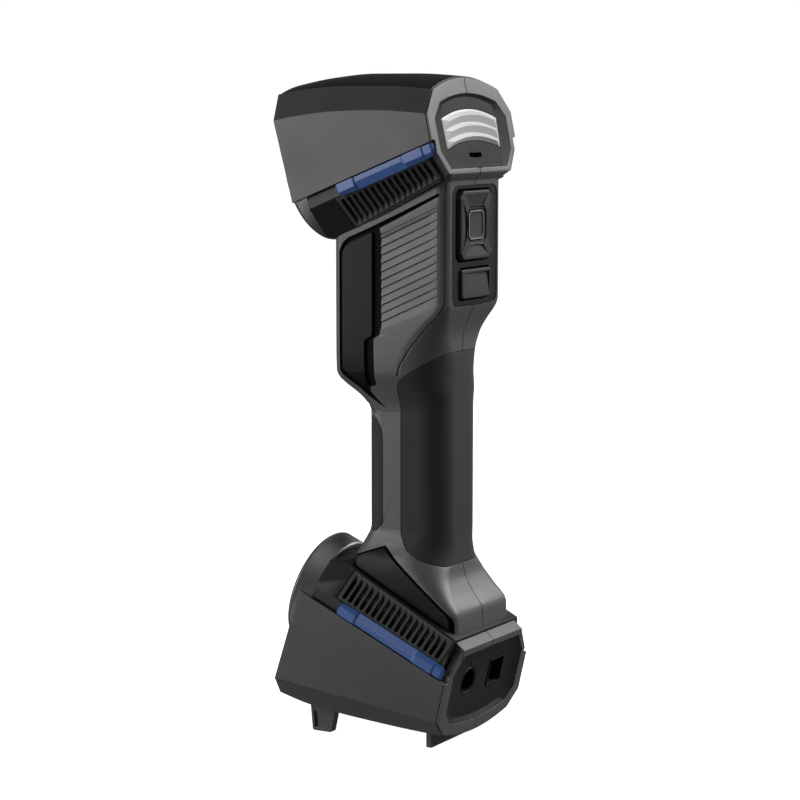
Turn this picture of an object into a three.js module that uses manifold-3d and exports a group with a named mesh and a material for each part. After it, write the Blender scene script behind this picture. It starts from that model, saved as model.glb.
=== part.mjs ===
// Hand-held 3-D scanner: a grip column between two camera heads, millimetres, +Z up.
// The lenses look along -Y, the operator's keypad and the sockets face +Y, and the scanner is
// symmetric about X = 0 apart from its sockets. "left" is +X, the operator's left hand side.
// It stands on two front tabs and a rear bar, whose lowest faces are the plane Z = 0.
import * as THREE from 'three';
import { mergeVertices } from 'three/addons/utils/BufferGeometryUtils.js';
import Module from 'manifold-3d';

const wasm = await Module();
wasm.setup();

// ---------------------------------------------------------------- driving dimensions

const GAP = 0.3; // clearance between neighbouring pieces
const REACH = 60; // half-size of cutting blocks, beyond any piece
const SHELL_WALL = 4.2; // grip column wall, thick enough to carry the inlays
const INLAY = 1.8; // thickness of rubber grips and panels set into the column
const COVER_WALL = 2.2; // wings and crowns of the heads

const WING_HALF = 37.1; // half width over the wings
const SHOULDER_HALF = 28.3; // half width where the chamfer meets the crown
const CHASSIS_HALF = 34.6; // half width of the chassis inside the wings
const STRIP_HEIGHT = 5.4; // accent strip between wing and vent slope

const BODY_HALF = 25; // half width of the keypad body and of the neck
const HANDLE_HALF = 18.5;
const HANDLE_FRONT = -8;
const BODY_FRONT = -20.1;
const NECK_FRONT = -11.5;
const HANDLE_BACK = 31;
const BODY_BACK = 36.7;
const NECK_BACK = 41.8;

// Grip column, from the lower head up to the upper head: half width, front and back planes,
// and the radii of the front and back corners at each height.
const COLUMN = [
  { z: 40, half: BODY_HALF, front: NECK_FRONT, back: NECK_BACK, rFront: 3, rBack: 4 },
  { z: 60, half: BODY_HALF, front: NECK_FRONT, back: NECK_BACK - 0.6, rFront: 3, rBack: 4 },
  { z: 68, half: BODY_HALF, front: NECK_FRONT, back: 36, rFront: 3, rBack: 7 },
  { z: 76, half: 24.6, front: NECK_FRONT, back: 32, rFront: 3, rBack: 12 },
  { z: 82, half: 23.6, front: NECK_FRONT + 0.4, back: HANDLE_BACK + 0.2, rFront: 4, rBack: 17 },
  { z: 88, half: 20.6, front: -9.8, back: HANDLE_BACK, rFront: 6, rBack: 15 },
  { z: 95, half: HANDLE_HALF, front: HANDLE_FRONT, back: HANDLE_BACK, rFront: 8, rBack: 12 },
  { z: 147, half: HANDLE_HALF, front: HANDLE_FRONT, back: HANDLE_BACK, rFront: 8, rBack: 12 },
  { z: 152, half: 19.6, front: -10.8, back: HANDLE_BACK, rFront: 7, rBack: 13 },
  { z: 155, half: 20.8, front: -14, back: HANDLE_BACK, rFront: 7, rBack: 14 },
  { z: 158, half: 22.2, front: -17.2, back: HANDLE_BACK, rFront: 6, rBack: 16 },
  { z: 160.5, half: 23.4, front: -19.2, back: HANDLE_BACK, rFront: 5, rBack: 18 },
  { z: 164, half: 24.6, front: BODY_FRONT, back: HANDLE_BACK, rFront: 4, rBack: 20 },
  { z: 173.5, half: BODY_HALF, front: BODY_FRONT, back: 30.8, rFront: 4, rBack: 18 },
  { z: 180, half: BODY_HALF, front: BODY_FRONT, back: 31, rFront: 4, rBack: 13.5 },
  { z: 184, half: BODY_HALF, front: BODY_FRONT, back: 32.2, rFront: 4, rBack: 11 },
  { z: 188, half: BODY_HALF, front: BODY_FRONT, back: 33.9, rFront: 4, rBack: 8 },
  { z: 191, half: BODY_HALF, front: BODY_FRONT, back: 35.4, rFront: 4, rBack: 6 },
  { z: 195, half: BODY_HALF, front: BODY_FRONT, back: BODY_BACK, rFront: 4, rBack: 5 },
  { z: 251, half: BODY_HALF, front: BODY_FRONT, back: BODY_BACK, rFront: 4, rBack: 5 },
];
const LEAST_RADIUS = 0.8; // of the column's corners, however far it is moved inwards
const CORNER_STEPS = 3;

// The two heads mirror each other but for small differences. "up" points from the column to
// the crown. Stations give the heights of the crown on X = 0, of the shoulder and of the wing's
// chamfer edge. The wing line is the straight edge that the accent strip lies along. The foot is
// the lower edge of the vent slope: its height and half width at Y = 0, and their change per
// millimetre of Y.
const HEADS = {
  upper: {
    up: 1,
    stations: [
      { y: -52, crown: 287, shoulder: 282.7, wing: 270.6 },
      { y: -30, crown: 291.2, shoulder: 286.3, wing: 274.6 },
      { y: -12, crown: 292.8, shoulder: 287.5, wing: 276.6 },
      { y: 8, crown: 292.8, shoulder: 287.6, wing: 277.2 },
      { y: 42, crown: 290.6, shoulder: 285.6, wing: 275.4 },
    ],
    wingLine: { z: 250.2, slope: 0.398 },
    foot: { z: 229.65, slope: 0.505, half: 25.3, spread: 0.0676 },
    frontPlane: { y: -42.4, z: 271.8, lean: -0.27 },
    rearPlane: { y: 35.94, z: 268, lean: -0.21 },
    chassisLimit: 222,
    lens: { y: -42.5, z: 245.4, tilt: THREE.MathUtils.degToRad(15.5) },
    stripSpan: [-12, 35.5],
    ventSpan: [-13, 32.5],
    ventSlots: 15,
  },
  lower: {
    up: -1,
    stations: [
      { y: -54, crown: 14, shoulder: 19.4, wing: 27.6 },
      { y: -28, crown: 10, shoulder: 13.4, wing: 24.4 },
      { y: 0, crown: 7.2, shoulder: 10.6, wing: 21 },
      { y: 30, crown: 5.6, shoulder: 8.8, wing: 17.3 },
      { y: 50, crown: 5.2, shoulder: 8.4, wing: 15 },
    ],
    wingLine: { z: 53.4, slope: -0.455 },
    foot: { z: 73.84, slope: -0.512, half: 27.08, spread: 0.028 },
    frontPlane: { y: -43.8, z: 26.3, lean: 0.323 },
    rearPlane: { y: 42.46, z: 28, lean: 0.2296 },
    chassisLimit: 80.5,
    lens: { y: -42.1, z: 61, tilt: THREE.MathUtils.degToRad(-15.5) },
    stripSpan: [-12, 40.5],
    ventSpan: [-13, 38.5],
    ventSlots: 17,
  },
};
const CHASSIS_SETBACK = 6.5; // chassis front behind the wings' front edges
const CHASSIS_ROOF = { half: 27.4, drop: 3.2, eave: 2 }; // its top edge below the shoulder and wing
const WING_WALL = { shoulder: 2.6, edge: 1.1 }; // wing thickness at its two upper edges, along Z
const STRIP = { deep: 0.92, shallow: 0.66, start: 0.8, block: [10, 11.5], end: [16.5, 15, 2] };
const CROWN_SETBACK = 1.5; // crown front behind the wings' front edges
const FRAME_THICK = 4; // rear frames of the heads
const FRAME_LIP = 0.8; // the part of a rear frame that covers the wings' ends

// Outlines on the side of the column, as (y, z)
const NAME_PANEL = [[-16.2, 215.6], [-14.8, 219.4], [-12, 222], [3.8, 228.7], [3.8, 181], [1, 179],
  [1, 158.4], [-7.2, 156.8], [-14, 161.6], [-16.2, 165]];
const NAME_CHANNEL = [[0, 240], [6, 240], [6, 178], [1.6, 178], [1.6, 150], [-4, 150], [-4, 180.2],
  [0, 180.2]];
const RIB_PLATE = [[4.4, 224], [32.2, 236.4], [32.2, 195.4], [4.4, 182.6]];
const RIB_COUNT = 11;
const RIB_MARGIN = 1.2;
const RIB_GROOVE = 0.9;
const NAME_CHANNEL_DEPTH = 1.1;
const SIDE_PANEL_START = 12; // side panels lie beyond this distance from the middle
const NECK_PANEL = [[-10.6, 82.4], [4.2, 87.6], [39, 60], [39.9, 57], [39.9, 52.2], [-10.6, 77.8]];
const REAR_GRIP = [[10.6, 157.4], [12.6, 161.2], [30.5, 173.2], [50, 173.6], [50, 79.8],
  [30, 79.8], [22.9, 82.4], [14.2, 87.5], [10.6, 93.4]];
const FRONT_GRIP = [[-30, 138], [-2, 146.6], [1.2, 144.6], [1.2, 97.4], [-2, 93.8], [-30, 92]];

// Keypad on the back of the column: heights, half widths, and depths along Y
const KEYPAD = { low: 193.5, high: 245.1, half: 20, face: 35.2, back: 32.8, corner: 5 };
const PAD = { z: 228.05, half: 14.3, halfHeight: 14.75, face: 37, back: 33, corner: 4.5 };
const PAD_HOLE = { half: 7.6, halfHeight: 7.5 };
const SELECT_KEY = { half: 7.1, halfHeight: 6.6, face: 37.9, back: 33.6, stem: 3, stemEnd: 29.2 };
const FUNCTION_KEY = { low: 196.6, high: 209.1, half: 12.9, face: 37.1, back: 33, corner: 2 };
const KEY_CLEARANCE = 0.9;
const GIMBAL = { half: 11, bore: 5.4, back: 29.9, face: 31.9 };
const PIVOT = { near: 8.4, far: 10.2, half: 1 }; // short posts that a plate rocks on
const SWITCH = { reach: 12.7, half: 1.5, top: 31.7, selectTop: 28.3 };
const KEYPAD_BOARD = { half: 17, low: 197, high: 243.4, back: 25.4, face: 27 };

// Laser cover on the front of the column
const LASER = { half: 13, low: 180, high: 216, recess: 0.4, rim: 1, modules: [188, 202, 216] };
const LASER_LENS = { radius: 5, ys: [-2, 9] };
const LASER_BASE = { radius: 6, ys: [-6, -1.5] };
const FRONT_COVER = { half: 19.5, low: 170, high: 219 };

// Lens assembly: radii, and depths along the lens axis behind the front rim of its ring
const LENS_RING = { front: 27.5, rear: 26, bore: 23.6, depth: 11, bevel: 0.8 };
const BARREL = { radius: 23.2, bore: 20.4, front: 2.5, back: 24 };
const CAMERA_LENS = [[0, -17], [9.4, -17], [9.4, -12.5], [8, -12], [8, -2.6], [6.8, -2.6], [5.6, -5.4],
  [0, -4.6]]; // (radius, depth)
const LENS_WINDOW = { hole: 8.4, front: 2.9, back: 4.4 };
const LED_BOARD = { hole: 11, back: 11.6, face: 10, leds: 8, circle: 16, ledRadius: 1.6, ledTop: 8.6 };
const SENSOR_BOARD = { half: 14, halfHeight: 12, face: 17.5, back: 18.9 };

// Rear faces of the heads. Depths are measured outwards from the rear frame's outer face, places
// across the face as (u, v) with u towards -X.
const REAR_PANEL = { back: -3.4, face: -1 };
const LIGHT_GUIDE = {
  top: { half: 24.2, edge: 5.9, middle: 10 },
  bottom: { half: 23.4, edge: -7.2, middle: -3.6 },
  back: -4.2,
  groove: -1.9,
  ribFace: -0.9,
  ribInset: 0.3,
  ribs: [[0, 0.26], [0.37, 0.63], [0.74, 1]],
};
const LANYARD_SLOT = { half: 5.4, v: -10, halfHeight: 1.05 };
const LANYARD_BAR = { u: -3, half: 1, reach: 4, back: -6, face: -4.6 };
const STATUS_BOARD = { half: 12, halfHeight: 3.6, back: -8.2, face: -6.8 };
const STATUS_LED = { half: 1.4, top: -5.6, pitch: 9 };
const PORT_PANEL = { back: -3.6, face: -1.3 };
const SOCKET_DEPTH = { face: -1.5, floor: -10.5, back: -12, pins: -7.6 };
const POWER_SOCKET = { u: -12.6, v: 1.9, radius: 6.3, bore: 5.4, pins: 4, pinCircle: 2.6, pinRadius: 0.7 };
const DATA_SOCKET = { u: 11.8, v: 1.8, half: 6.4, halfHeight: 6.3, wall: 0.7, comb: 3.6 };
const LIGHT_PIPE = { u: -12.9, v: 9.8, radius: 0.55, flange: 0.9, flangeFace: -3.9, back: -5 };
const INTERFACE_BOARD = { half: 18, low: -10, high: 12, back: -13.7, face: -12.3 };

// Inside: the spine that carries both heads, its heat sinks and the main board
const SPINE = { half: 9, ys: [6.6, 9.6], zs: [34.6, 254], hole: 4, holes: 5 };
const HEAT_SINK = { half: 22, base: 2.5, fin: 2, fins: 7, height: 14, upper: [-6, 24], lower: [-12, 16] };
const MAIN_BOARD = { half: 19, ys: [14, 15.6], zs: [168, 240], chipTop: 17.4 };

// Feet
const TAB = { x: [16, 20], y: [-36, -23.4], taper: 1.4, wall: 1.6, pocket: 1.2 };
const BAR = { half: 20, y: [24.2, 27], top: 9.2 };

// ---------------------------------------------------------------- geometry helpers

// A closed geometry as a solid that can be joined and cut.
function solid(geometry) {
  const bare = new THREE.BufferGeometry();
  bare.setAttribute('position', geometry.getAttribute('position').clone());
  if (geometry.index) bare.setIndex(geometry.index.clone());
  const merged = mergeVertices(bare, 1e-4);
  const index = merged.index.array;
  const kept = [];
  for (let i = 0; i < index.length; i += 3) {
    const [a, b, c] = [index[i], index[i + 1], index[i + 2]];
    if (a !== b && b !== c && c !== a) kept.push(a, b, c);
  }
  return new wasm.Manifold(new wasm.Mesh({
    numProp: 3,
    vertProperties: Float32Array.from(merged.getAttribute('position').array),
    triVerts: Uint32Array.from(kept),
  }));
}

function geometryOf(body) {
  const mesh = body.getMesh();
  const geometry = new THREE.BufferGeometry();
  geometry.setAttribute('position', new THREE.BufferAttribute(mesh.vertProperties, 3));
  geometry.setIndex(new THREE.BufferAttribute(mesh.triVerts, 1));
  geometry.computeVertexNormals();
  return geometry;
}

// The mirror image in X = 0, with its faces turned to point outwards again.
function mirrored(body) {
  const geometry = geometryOf(body);
  geometry.scale(-1, 1, 1);
  const index = geometry.index.array;
  for (let i = 0; i < index.length; i += 3) [index[i], index[i + 1]] = [index[i + 1], index[i]];
  return solid(geometry);
}

function shapeOf(points) {
  return new THREE.Shape(points.map(([a, b]) => new THREE.Vector2(a, b)));
}

// A closed outline whose corners are rounded by the same radius.
function roundedShape(points, radius, steps = 2) {
  const rounded = [];
  points.forEach((corner, i) => {
    const before = points[(i + points.length - 1) % points.length];
    const after = points[(i + 1) % points.length];
    const here = new THREE.Vector2(...corner);
    const start = new THREE.Vector2(...before).sub(here).setLength(radius).add(here);
    const end = new THREE.Vector2(...after).sub(here).setLength(radius).add(here);
    const curve = new THREE.QuadraticBezierCurve(start, here, end);
    rounded.push(...curve.getPoints(steps).map((p) => [p.x, p.y]));
  });
  return shapeOf(rounded);
}

function rectangle(half, low, high) {
  return [[half, low], [half, high], [-half, high], [-half, low]];
}

function rectangleAt(u, v, half, halfHeight) {
  return [[u + half, v - halfHeight], [u + half, v + halfHeight], [u - half, v + halfHeight],
    [u - half, v - halfHeight]];
}

// A slab of constant thickness: the shape lies in the frame's XY plane, between two levels.
function slab(frame, shape, low, high) {
  const geometry = new THREE.ExtrudeGeometry(shape, { depth: high - low, bevelEnabled: false });
  geometry.translate(0, 0, low);
  geometry.applyMatrix4(frame);
  return solid(geometry);
}

function frameOf(origin, u, v, n) {
  const basis = new THREE.Matrix4().makeBasis(u, v, n);
  basis.setPosition(origin);
  return basis;
}

const X = new THREE.Vector3(1, 0, 0);
const Y = new THREE.Vector3(0, 1, 0);
const Z = new THREE.Vector3(0, 0, 1);
const ORIGIN = new THREE.Vector3();
const SIDE = frameOf(ORIGIN, Y, Z, X); // (y, z) outlines, thickness along X
const BACK = frameOf(ORIGIN, X.clone().negate(), Z, Y); // (-x, z) outlines, thickness along Y

function box(xs, ys, zs) {
  const geometry = new THREE.BoxGeometry(xs[1] - xs[0], ys[1] - ys[0], zs[1] - zs[0]);
  geometry.translate((xs[0] + xs[1]) / 2, (ys[0] + ys[1]) / 2, (zs[0] + zs[1]) / 2);
  return solid(geometry);
}

// A solid through a row of like sections, each a list of points. place() puts a section point
// at its station.
function loft(stations, sectionAt, place) {
  const clockwise = THREE.ShapeUtils.area(sectionAt(stations[0]).map((p) => new THREE.Vector2(...p))) < 0;
  const rings = stations.map((station) => {
    const ring = sectionAt(station);
    return clockwise ? ring.reverse() : ring;
  });
  const count = rings[0].length;
  const positions = [];
  rings.forEach((ring, i) => ring.forEach((point) => positions.push(...place(point, stations[i]))));
  const index = [];
  for (let i = 0; i + 1 < rings.length; i += 1) {
    for (let j = 0; j < count; j += 1) {
      const next = (j + 1) % count;
      const [a, b, c, d] = [i * count + j, i * count + next, (i + 1) * count + next, (i + 1) * count + j];
      index.push(a, b, c, a, c, d);
    }
  }
  const lastRing = (rings.length - 1) * count;
  const cap = THREE.ShapeUtils.triangulateShape(rings[0].map((p) => new THREE.Vector2(...p)), []);
  cap.forEach(([a, b, c]) => index.push(a, c, b, lastRing + a, lastRing + b, lastRing + c));
  const geometry = new THREE.BufferGeometry();
  geometry.setAttribute('position', new THREE.Float32BufferAttribute(positions, 3));
  geometry.setIndex(index);
  const body = solid(geometry);
  if (body.volume() > 0) return body;
  for (let i = 0; i < index.length; i += 3) [index[i], index[i + 1]] = [index[i + 1], index[i]];
  geometry.setIndex(index);
  return solid(geometry);
}

// A body of revolution: profile points are (radius, height) and close on the axis or on themselves.
function turned(frame, profile, sides) {
  const geometry = new THREE.LatheGeometry(profile.map(([r, h]) => new THREE.Vector2(r, h)), sides);
  geometry.applyMatrix4(frame);
  const body = solid(geometry);
  if (body.volume() > 0) return body;
  const points = [...profile].reverse().map(([r, h]) => new THREE.Vector2(r, h));
  const flipped = new THREE.LatheGeometry(points, sides);
  flipped.applyMatrix4(frame);
  return solid(flipped);
}

function disc(frame, radius, low, high, sides = 24) {
  return turned(frame, [[0, low], [radius, low], [radius, high], [0, high]], sides);
}

function tube(frame, inner, outer, low, high, sides = 32) {
  return turned(frame, [[inner, low], [outer, low], [outer, high], [inner, high], [inner, low]], sides);
}

// ---------------------------------------------------------------- grip column

function columnSection({ half, front, back, rFront, rBack }, inset) {
  const points = [];
  const corners = [
    [1, back - rBack, rBack, 0],
    [-1, back - rBack, rBack, Math.PI / 2],
    [-1, front + rFront, rFront, Math.PI],
    [1, front + rFront, rFront, (3 * Math.PI) / 2],
  ];
  corners.forEach(([side, y, radius, start]) => {
    const r = Math.max(radius - inset, LEAST_RADIUS);
    const x = side * (half - Math.max(radius, inset + LEAST_RADIUS));
    for (let i = 0; i <= CORNER_STEPS; i += 1) {
      const angle = start + (Math.PI / 2) * (i / CORNER_STEPS);
      const centre = y + Math.sign(y) * Math.min(radius - inset - LEAST_RADIUS, 0);
      points.push([x + r * Math.cos(angle), centre + r * Math.sin(angle)]);
    }
  });
  return points;
}

// The column's envelope, moved inwards by an inset; an open one runs past both ends.
function column(inset, overrun = 0) {
  const stations = COLUMN.map((s) => ({ ...s }));
  stations[0].z -= overrun;
  stations[stations.length - 1].z += overrun;
  return loft(stations, (s) => columnSection(s, inset), ([x, y], s) => [x, y, s.z]);
}

// The neck runs out over the lower head in a sloping shelf that carries its rear frame.
const SHELF = [[36, 51.4], [41.4, 51.4], [47, 47], [45.6, 41], [36, 41]];
const SHELF_HALF = 26.4;

function shelf(by) {
  return slab(SIDE, shapeOf(offset(SHELF, by)), -SHELF_HALF - by, SHELF_HALF + by);
}

const columnBody = column(0).add(shelf(0));
const columnGrown = column(-GAP, GAP).add(shelf(GAP));

// The skin of the column between its surface and a depth, over an outline on its side.
function inlay(outline, depth, xLow = 0, radius = 1.2) {
  const region = slab(SIDE, roundedShape(outline, radius), xLow, REACH);
  return region.intersect(columnBody).subtract(column(depth, REACH));
}

// An outline with every edge moved outwards by the same distance.
function offset(outline, by) {
  const points = outline.map((p) => new THREE.Vector2(...p));
  const side = THREE.ShapeUtils.area(points) > 0 ? by : -by;
  const normals = points.map((p, i) => {
    const edge = points[(i + 1) % points.length].clone().sub(p).normalize();
    return new THREE.Vector2(edge.y, -edge.x);
  });
  return points.map((p, i) => {
    const before = normals[(i + points.length - 1) % points.length];
    const move = before.clone().add(normals[i]).multiplyScalar(side / (1 + before.dot(normals[i])));
    return [p.x + move.x, p.y + move.y];
  });
}

function pocket(outline, depth, xLow = 0, radius = 1.4) {
  const region = slab(SIDE, roundedShape(offset(outline, GAP), radius), xLow, REACH);
  return region.subtract(column(depth + GAP, REACH));
}

// ---------------------------------------------------------------- heads

function wingLineAt(head, y) {
  return head.wingLine.z + head.wingLine.slope * y;
}

function planeAt(plane, z, offset) {
  return plane.y + plane.lean * (z - plane.z) + offset;
}

// The stretch of a head between its front and rear planes, each moved along Y by an offset.
function between(head, frontOffset, rearOffset, limit = null) {
  const crownSide = head.up > 0 ? 310 : -10;
  const columnSide = limit ?? (head.up > 0 ? 200 : 110);
  const outline = [
    [planeAt(head.frontPlane, crownSide, frontOffset), crownSide],
    [planeAt(head.rearPlane, crownSide, rearOffset), crownSide],
    [planeAt(head.rearPlane, columnSide, rearOffset), columnSide],
    [planeAt(head.frontPlane, columnSide, frontOffset), columnSide],
  ];
  return slab(SIDE, shapeOf(outline), -REACH, REACH);
}

function headLoft(head, sectionAt) {
  return loft(head.stations, sectionAt, ([x, z], s) => [x, s.y, z]);
}

const ARCH_STEPS = 4;

// Arch points from one side to the other; depth moves them towards the column.
function arch(half, edge, middle) {
  const points = [];
  for (let i = -ARCH_STEPS; i <= ARCH_STEPS; i += 1) {
    const t = i / ARCH_STEPS;
    points.push([half * t, middle + (edge - middle) * t * t]);
  }
  return points;
}

function crownCover(head) {
  const wall = head.up * COVER_WALL;
  const half = SHOULDER_HALF - GAP;
  const body = headLoft(head, (s) => [
    ...arch(half, s.shoulder, s.crown),
    ...arch(half, s.shoulder - wall, s.crown - wall).reverse(),
  ]);
  return body.intersect(between(head, CROWN_SETBACK, -FRAME_LIP - GAP));
}

function wing(head) {
  const { up } = head;
  const inner = WING_HALF - COVER_WALL;
  const body = headLoft(head, (s) => [
    [SHOULDER_HALF, s.shoulder],
    [WING_HALF, s.wing],
    [WING_HALF, wingLineAt(head, s.y)],
    [inner, wingLineAt(head, s.y)],
    [inner, s.wing - up * WING_WALL.edge],
    [SHOULDER_HALF, s.shoulder - up * WING_WALL.shoulder],
  ]);
  return body.intersect(between(head, 0, -FRAME_LIP - GAP));
}

function chassisSection(head, s, inset) {
  const { up } = head;
  const line = wingLineAt(head, s.y);
  const roof = s.shoulder - up * (CHASSIS_ROOF.drop + inset);
  const eave = s.wing - up * (CHASSIS_ROOF.eave + inset);
  const foot = head.foot.z + head.foot.slope * s.y + up * inset;
  const side = CHASSIS_HALF - inset;
  const throat = head.foot.half + head.foot.spread * s.y - inset;
  const top = CHASSIS_ROOF.half - inset;
  return [
    [top, roof], [side, eave], [side, line - up * STRIP_HEIGHT], [throat, foot],
    [-throat, foot], [-side, line - up * STRIP_HEIGHT], [-side, eave], [-top, roof],
  ];
}

// The lens frame: +Y of a turned profile points out of the lens.
function lensFrame(head) {
  const forward = new THREE.Vector3(0, -Math.cos(head.lens.tilt), -Math.sin(head.lens.tilt));
  const turn = new THREE.Quaternion().setFromUnitVectors(Y, forward);
  return new THREE.Matrix4().makeRotationFromQuaternion(turn)
    .setPosition(0, head.lens.y, head.lens.z);
}

// The plane of a head's rear face: u towards -X, v upwards, n out of the face.
function rearFrame(head) {
  const n = new THREE.Vector3(0, 1, -head.rearPlane.lean).normalize();
  const v = new THREE.Vector3(0, head.rearPlane.lean, 1).normalize();
  return frameOf(new THREE.Vector3(0, head.rearPlane.y, head.rearPlane.z), X.clone().negate(), v, n);
}

// The slope that carries the vents on the left: s along the wing line, t down the slope. The
// slope is lengthAt(s) long from the accent strip down to its foot.
function ventFrame(head) {
  const { up, foot } = head;
  const along = new THREE.Vector3(0, 1, head.wingLine.slope).normalize();
  const origin = new THREE.Vector3(CHASSIS_HALF, 0, wingLineAt(head, 0) - up * STRIP_HEIGHT);
  const drop = new THREE.Vector3(foot.half, 0, foot.z).sub(origin);
  const down = drop.clone().addScaledVector(along, -drop.dot(along)).normalize();
  const footRun = new THREE.Vector3(foot.spread, 1, foot.slope);
  const lengthAt = (s) => {
    const y = (s - drop.dot(along)) / footRun.dot(along);
    return drop.dot(down) + y * footRun.dot(down);
  };
  const out = new THREE.Vector3().crossVectors(along, down);
  const flip = out.x < 0;
  const frame = flip
    ? frameOf(origin, down, along, out.clone().negate())
    : frameOf(origin, along, down, out);
  return { frame, lengthAt, flip };
}

// A patch on the vent slope between two places along it, from a depth below its upper edge to a
// margin above its foot.
function ventPatch(head, alongLow, alongHigh, depth, margin, low, high) {
  const { frame, lengthAt, flip } = ventFrame(head);
  const corners = [[alongLow, depth], [alongHigh, depth], [alongHigh, lengthAt(alongHigh) - margin],
    [alongLow, lengthAt(alongLow) - margin]];
  const shape = shapeOf(corners.map(([s, t]) => (flip ? [t, s] : [s, t])));
  return slab(frame, shape, low, high);
}

const GRILLE_THICK = 2;
const GRILLE_MARGIN = 1.2;
const VENT_EDGE = 0.8; // between the grille and the edges of its slope
const SEAT_RISE = 3; // how far the seat's cut reaches out past the slope
const VENT_SLOT = { half: 0.8, depth: 2, margin: 2.4 };
const VENT_WINDOW = { inset: 1.5, depth: 2, margin: 2.2, back: -8 }; // opening behind the grille

function ventSpanAlong(head) {
  const stretch = Math.hypot(1, head.wingLine.slope);
  return head.ventSpan.map((y) => y * stretch);
}

function grille(head) {
  const [start, end] = ventSpanAlong(head);
  let body = ventPatch(head, start, end, VENT_EDGE, VENT_EDGE, -GRILLE_THICK, 0).subtract(columnGrown);
  const pitch = (end - start - 2 * GRILLE_MARGIN) / head.ventSlots;
  for (let i = 0; i < head.ventSlots; i += 1) {
    const middle = start + GRILLE_MARGIN + pitch * (i + 0.5);
    const [low, high] = [middle - VENT_SLOT.half, middle + VENT_SLOT.half];
    body = body.subtract(ventPatch(head, low, high, VENT_SLOT.depth, VENT_SLOT.margin, -REACH, 1));
  }
  return body;
}

function chassis(head) {
  const lens = lensFrame(head);
  const outer = headLoft(head, (s) => chassisSection(head, s, 0))
    .intersect(between(head, CHASSIS_SETBACK, -FRAME_THICK - GAP, head.chassisLimit));
  const floor = head.chassisLimit + head.up * COVER_WALL;
  const hollow = headLoft(head, (s) => chassisSection(head, s, COVER_WALL))
    .intersect(between(head, CHASSIS_SETBACK + COVER_WALL, REACH, floor));
  const barrel = disc(lens, LENS_RING.rear, -BARREL.back, -LENS_RING.depth - GAP, 28)
    .add(disc(lens, BARREL.radius, -BARREL.back, -BARREL.front, 28));
  const [start, end] = ventSpanAlong(head);
  const edge = VENT_EDGE - GAP;
  const seat = ventPatch(head, start - GAP, end + GAP, edge, edge, -GRILLE_THICK - GAP, SEAT_RISE);
  const window = ventPatch(head, start + VENT_WINDOW.inset, end - VENT_WINDOW.inset,
    VENT_WINDOW.depth, VENT_WINDOW.margin, VENT_WINDOW.back, 1);
  const vents = seat.add(window);
  return outer.add(barrel.intersect(between(head, -REACH, 0, head.chassisLimit)))
    .subtract(hollow)
    .subtract(disc(lens, BARREL.bore, -REACH, REACH, 28))
    .subtract(vents)
    .subtract(mirrored(vents))
    .subtract(columnGrown);
}

function strip(head) {
  const { up } = head;
  const stretch = Math.hypot(1, head.wingLine.slope);
  const along = new THREE.Vector3(0, 1, head.wingLine.slope).normalize();
  const away = new THREE.Vector3(0, head.wingLine.slope * up, -up).normalize();
  const origin = new THREE.Vector3(0, 0, wingLineAt(head, 0));
  const [start, end] = head.stripSpan.map((y) => y * stretch);
  const [near, deep, shallow] = [GAP, STRIP_HEIGHT * STRIP.deep, STRIP_HEIGHT * STRIP.shallow];
  const outline = [[start, near], [start + STRIP.start, deep], [start + STRIP.block[0], deep],
    [start + STRIP.block[1], shallow], [end - STRIP.end[0], shallow], [end - STRIP.end[1], deep],
    [end - STRIP.end[2], deep], [end, near + 1], [end, near]];
  const out = new THREE.Vector3().crossVectors(along, away);
  const flip = out.x < 0;
  const frame = flip ? frameOf(origin, away, along, out.negate()) : frameOf(origin, along, away, out);
  const shape = shapeOf(outline.map(([s, t]) => (flip ? [t, s] : [s, t])));
  return slab(frame, shape, CHASSIS_HALF + GAP, WING_HALF - 0.5);
}

// ---------------------------------------------------------------- rear faces of the heads

function archedOutline(lowerOrUpperPoints, half, edge, middle) {
  const mirroredPoints = lowerOrUpperPoints.map(([u, v]) => [-u, v]).reverse();
  return [...lowerOrUpperPoints, ...arch(half, edge, middle).reverse(), ...mirroredPoints];
}

const REAR_OUTLINES = {
  upper: {
    frame: archedOutline([[27.4, -17.8], [34.6, -8.6], [34.6, -3], [WING_HALF, -3], [WING_HALF, 8.2]],
      28.3, 18.4, 23.4),
    core: archedOutline([[27, -17.4], [34, -8.4], [34, 6.8]], 26, 15.4, 20.4),
    inset: archedOutline([[24.9, -15.6], [31.2, -7.9], [31.5, 6]], 24.8, 12.8, 16.6),
  },
  lower: {
    frame: archedOutline([[26.8, 19], [34.4, 8.6], [34.4, 6.2], [WING_HALF, 6.2], [WING_HALF, -11.8]],
      28.9, -19.2, -23.2),
    core: archedOutline([[26.4, 18.6], [34, 8.2], [34, -10.4]], 26.5, -16.4, -20),
    inset: archedOutline([[24.6, 16.6], [31.4, 8.6], [31, -9.2]], 24.9, -14.8, -17.6),
  },
};

// ---------------------------------------------------------------- sub-parts

const PAINTS = {
  shell: { color: 0x66676a, roughness: 0.55, metalness: 0.1 },
  wing: { color: 0x595a5c, roughness: 0.6, metalness: 0.1 },
  crown: { color: 0x232325, roughness: 0.5, metalness: 0.1 },
  chassis: { color: 0x2b2b2d, roughness: 0.6, metalness: 0.1 },
  accent: { color: 0x3a5896, roughness: 0.45, metalness: 0.1 },
  rubber: { color: 0x28282a, roughness: 0.8, metalness: 0 },
  panel: { color: 0x1c1c1e, roughness: 0.4, metalness: 0 },
  key: { color: 0x3a3a3c, roughness: 0.6, metalness: 0 },
  socket: { color: 0x0c0c0d, roughness: 0.5, metalness: 0 },
  metal: { color: 0x9a9ca0, roughness: 0.3, metalness: 1 },
  glass: { color: 0x0a0c10, roughness: 0.05, metalness: 0 },
  guide: { color: 0xd8d8d8, roughness: 0.35, metalness: 0 },
  board: { color: 0x1d5a36, roughness: 0.6, metalness: 0 },
};

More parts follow.
